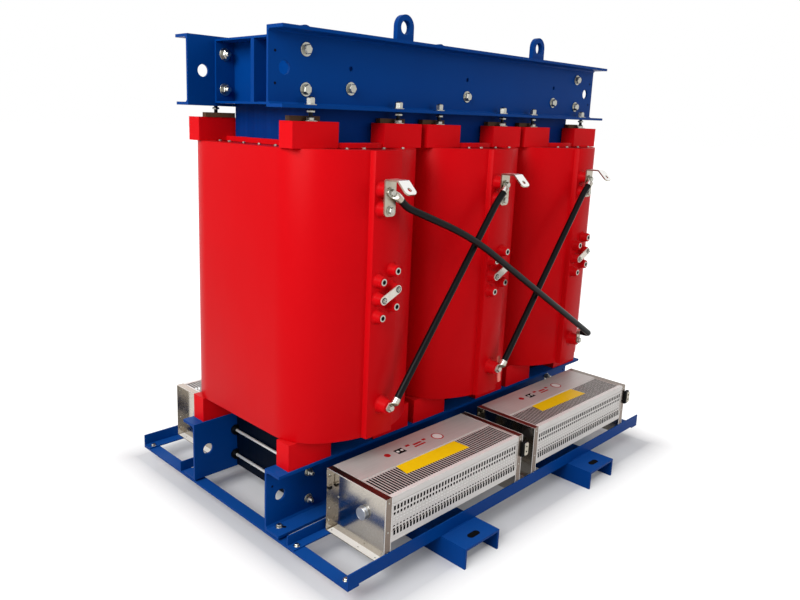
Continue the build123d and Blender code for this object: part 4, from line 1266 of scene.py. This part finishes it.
def rivet(mould, point, axis, radius):
    shares = ((0, 1.0), (1.2, 0.9), (2.2, 0.55), (2.6, 0.2))
    mould.turned(point, axis, [(rise, radius * share) for rise, share in shares], 14)


def draw_fittings(_, caps, rivets, clips):
    for web, out in TRAY_WEBS:
        caps.turned((web, AXIS_Y, AXIS_Z), (out, 0, 0), CAP, 36)
        for y, z, radius in WEB_RIVETS:
            rivet(rivets, (web, y, z), (out, 0, 0), radius)
        for y in (-395, -535, -620):
            rivet(rivets, (web + 16 * out, y, 87), UPWARDS, 3.5)
        for z in (120, 170, 300):
            rivet(rivets, (web + 16 * out, -379, z), OUTWARDS, 3.5)
            rivet(rivets, (web + 16 * out, -671, z), (0, 1, 0), 3.5)
        for z in (128, 206, 314):
            rivet(rivets, (web + 14 * out, -673.4, z), OUTWARDS, 3.2)
    clips.block((-826, -381.5, 262), (-808, -379, 294))
    clips.block((-826, -386, 258), (-808, -379, 262))


on_all_fans(
    draw_fittings,
    ("bearing_caps", cap_metal, "fan_end_sheet"),
    ("tray_rivets", zinc, "fan_end_sheet"),
    ("cable_clips", tray_sheet, "fan_end_sheet"),
)

# %% Plug boxes and flange faces
PANEL_Z, TRAY_FOOT, TRAY_TOP, TRAY_REAR, FILM = 330.0, 86, 329, 377, 0.4
FAN_MIDDLE = (LEFT_WEB + RIGHT_WEB) / 2
PLUG_NEAR, PLUG_FAR, PLUG_SCREW, PLUG_FACE, PLATE_FACE = 386, 417.5, 408, 684, 687.5
PLUG_PLATE = [
    (395.5, 246), (400.5, 240), (415.5, 240), (420.5, 246),
    (420.5, 288), (415.5, 294), (400.5, 294), (395.5, 288),
]


def draw_plug(side, boxes, plates):
    near, far = sorted((FAN_MIDDLE + side * PLUG_NEAR, FAN_MIDDLE + side * PLUG_FAR))
    boxes.block((near, -PLUG_FACE, 236), (far, -673.2, 298))
    plate = [(FAN_MIDDLE + side * x, z) for x, z in PLUG_PLATE]
    plates.rings([[(x, y, z) for x, z in plate] for y in (-PLATE_FACE, -PLUG_FACE)])
    for z in (256, 278):
        screw = (FAN_MIDDLE + side * PLUG_SCREW, -PLATE_FACE, z)
        boxes.turned(screw, OUTWARDS, [(0, 3.6), (1.4, 3.2), (1.8, 1.5)], 12)
    boxes.turned((-817, -379, 252), OUTWARDS, [(0, 9), (4, 9), (7, 7), (8, 4)], 20)


# painted highlights on the tray feet and cut edges, painted shade on the flange faces
def draw_flanges(_, edges, faces):
    for web, out in TRAY_WEBS:
        low, high = sorted((web, web + 28 * out))
        edges.block((low, -668, 87.1), (high, -384, 87.7))
        low, high = sorted((web - 2 * out, web + 30 * out))
        face, top = -FAN_FRONT - FILM, PANEL_Z + FILM
        faces.block((low, face, TRAY_FOOT), (high, -FAN_FRONT, TRAY_TOP))
        faces.block((low, -FAN_FRONT, PANEL_Z), (high, -TRAY_REAR, top))
        for x in (low, high - 2.4):
            edges.block((x, face - FILM, TRAY_FOOT), (x + 2.4, face, TRAY_TOP))
            edges.block((x, -FAN_FRONT, top), (x + 1.4, -TRAY_REAR, top + FILM))


on_all_fans(
    draw_plug,
    ("plug_boxes", black_rubber, "black_cable"),
    ("plug_plates", tin, "fan_end_sheet"),
)
on_all_fans(
    draw_flanges,
    ("tray_painted_highlights", white_sheet_and_painted_highlight, "fan_end_sheet"),
    ("tray_flange_faces", shaded_fold, "fan_end_sheet"),
)

# %% Step of the top panel and blank label stock
STEP = 0.8
YELLOW_STRIP = [(-629, -527), (-304, -529), (-301, -603), (-641, -590)]
RED_BARS = ((-478, -440, 11, 6), (-432, -450, 22, 5), (-432, -466, 30, 4), (-388, -444, 9, 6))


def draw_panel(_, laps, folds, yellow, white, red, black):
    laps.block((LEFT_WEB, -523, PANEL_Z), (RIGHT_WEB, -494, PANEL_Z + STEP))
    # painted highlights: the front folds are near-white strips
    folds.block((LEFT_WEB, -672.4, PANEL_Z), (RIGHT_WEB, -655, PANEL_Z + STEP))
    folds.block((LEFT_WEB, -674.2, 301), (RIGHT_WEB, -673, 303))
    yellow.rings([[(x, y, z) for x, y in YELLOW_STRIP] for z in (328.2, 328.7)])
    white.disc((-323, -459, PANEL_Z), UPWARDS, 21, 0.7, 36)
    red.disc((-323, -459, PANEL_Z), UPWARDS, 26, 0.5, 36)
    red.disc((-596, -449, PANEL_Z), UPWARDS, 13, 0.5, 24)
    black.block((-553, -470, PANEL_Z), (-511, -437, PANEL_Z + 0.5))
    for x in (-543, -521):
        white.disc((x, -453, PANEL_Z), UPWARDS, 6.5, 0.8, 20)
    for x, y, half, low in RED_BARS:
        red.block((x - half, y - low, PANEL_Z), (x + half, y + low, PANEL_Z + 0.5))


on_all_fans(
    draw_panel,
    ("panel_laps", fan_sheet, "fan_sheet"),
    ("folds_painted_highlight", white_sheet_and_painted_highlight, "fan_sheet"),
    ("yellow_blank", yellow_stock, "fan_sheet"),
    ("white_blanks", white_stock, "fan_sheet"),
    ("red_blanks", red_stock, "fan_sheet"),
    ("black_blanks", black_rubber, "fan_sheet"),
)

# %% [markdown]
# ## Floor
# The object stands on a white floor in a white room. A floor lit like the object would come out grey, so
# a share of what the camera sees is the floor's own white glow. The share is small close to the object,
# where nearly all is lit and the soft shadow stays, and grows with the distance from it. Light Path tells
# camera, mirror and glass rays from the rays that light the object: those see only the plain matt floor.

# %% The floor
def seen_ray(finish):
    """1 for rays from the camera, from a mirror or through glass, 0 for light that is scattered."""
    kinds = ("Is Camera Ray", "Is Glossy Ray", "Is Transmission Ray")
    camera, mirror, glass = [finish.node("ShaderNodeLightPath", output=kind) for kind in kinds]
    return (camera + mirror + glass).clamped()


floor_finish = Finish("white_floor")
floor_finish.tree.nodes.remove(floor_finish.shader)
matt = floor_finish.node("ShaderNodeBsdfDiffuse", sockets={"Color": paint(224, 224, 226)})
glow = floor_finish.node("ShaderNodeEmission", sockets={"Color": (1, 1, 1, 1), "Strength": 1.25})
vector_math, half_object, nearest = "ShaderNodeVectorMath", (1.0, 0.75, 0), 0.06
mirrored = floor_finish.node(vector_math, {"operation": "ABSOLUTE"}, {0: floor_finish.spot})
beyond = floor_finish.node(vector_math, {"operation": "SUBTRACT"}, {0: mirrored, 1: half_object})
outside = floor_finish.node(vector_math, {"operation": "MAXIMUM"}, {0: beyond, 1: (0, 0, 0)})
away = floor_finish.node(vector_math, {"operation": "LENGTH"}, {0: outside}, output="Value")
far = (away / 0.26).clamped() ** 0.6
share = seen_ray(floor_finish) * (nearest + 0.94 * far)
mix = floor_finish.node("ShaderNodeMixShader", sockets={0: share, 1: matt, 2: glow})
floor_finish.tree.links.new(mix.socket, floor_finish.tree.nodes["Material Output"].inputs[0])

bpy.ops.mesh.primitive_plane_add(size=120, location=(0, 0, 0))
floor = bpy.context.object
floor.name = "floor"
floor.data.materials.append(floor_finish.material)
print("floor is", round(floor.dimensions.x), "m wide")

# %% [markdown]
# ## Light
# A plain studio: an even pale room, one large soft lamp high on the left and a weak one on the right. The
# left ends of the coils come out about half as bright again as their fronts. Large lamps give soft edges
# to shadows and long soft highlights on the resin.

# %% Room and lamps
world = bpy.data.worlds.new("room")
bpy.context.scene.world = world
world.use_nodes = True


class Room(Finish):
    """The world's nodes, with the same sums."""

    def __init__(self, world):
        self.tree = world.node_tree


room = Room(world)
back = world.node_tree.nodes["Background"]
back.inputs["Color"].default_value = (1, 1, 1, 1)
AMBIENT = 0.34
seen = seen_ray(room)
room.fill(back.inputs["Strength"], seen + (1 - seen) * AMBIENT)


def soft_lamp(name, place, target, size, power):
    data = bpy.data.lights.new(name, "AREA")
    data.shape, data.size, data.size_y, data.energy = "RECTANGLE", size[0], size[1], power
    lamp = bpy.data.objects.new(name, data)
    lamp.location = place
    lamp.rotation_euler = (Vector(target) - Vector(place)).to_track_quat("-Z", "Y").to_euler()
    lamp.visible_glossy = name != "fill"
    bpy.context.scene.collection.objects.link(lamp)


soft_lamp("key", (-4.6, -0.9, 3.6), (0, 0, 0.9), (3.2, 2.6), 225)
soft_lamp("fill", (1.2, -5.5, 2.6), (0, 0, 0.8), (4.0, 3.0), 80)
soft_lamp("rear", (2.5, 4.5, 3.0), (0, 0, 0.9), (4.0, 3.0), 80)
bpy.context.scene.view_settings.view_transform = "Standard"
print("room at", AMBIENT, "and three lamps")

# %% [markdown]
# ## Close
# The added pieces are counted, with their triangles.

# %% Measure and finish
print("added", len(added), "pieces,", sum(count for _, count in added), "triangles")
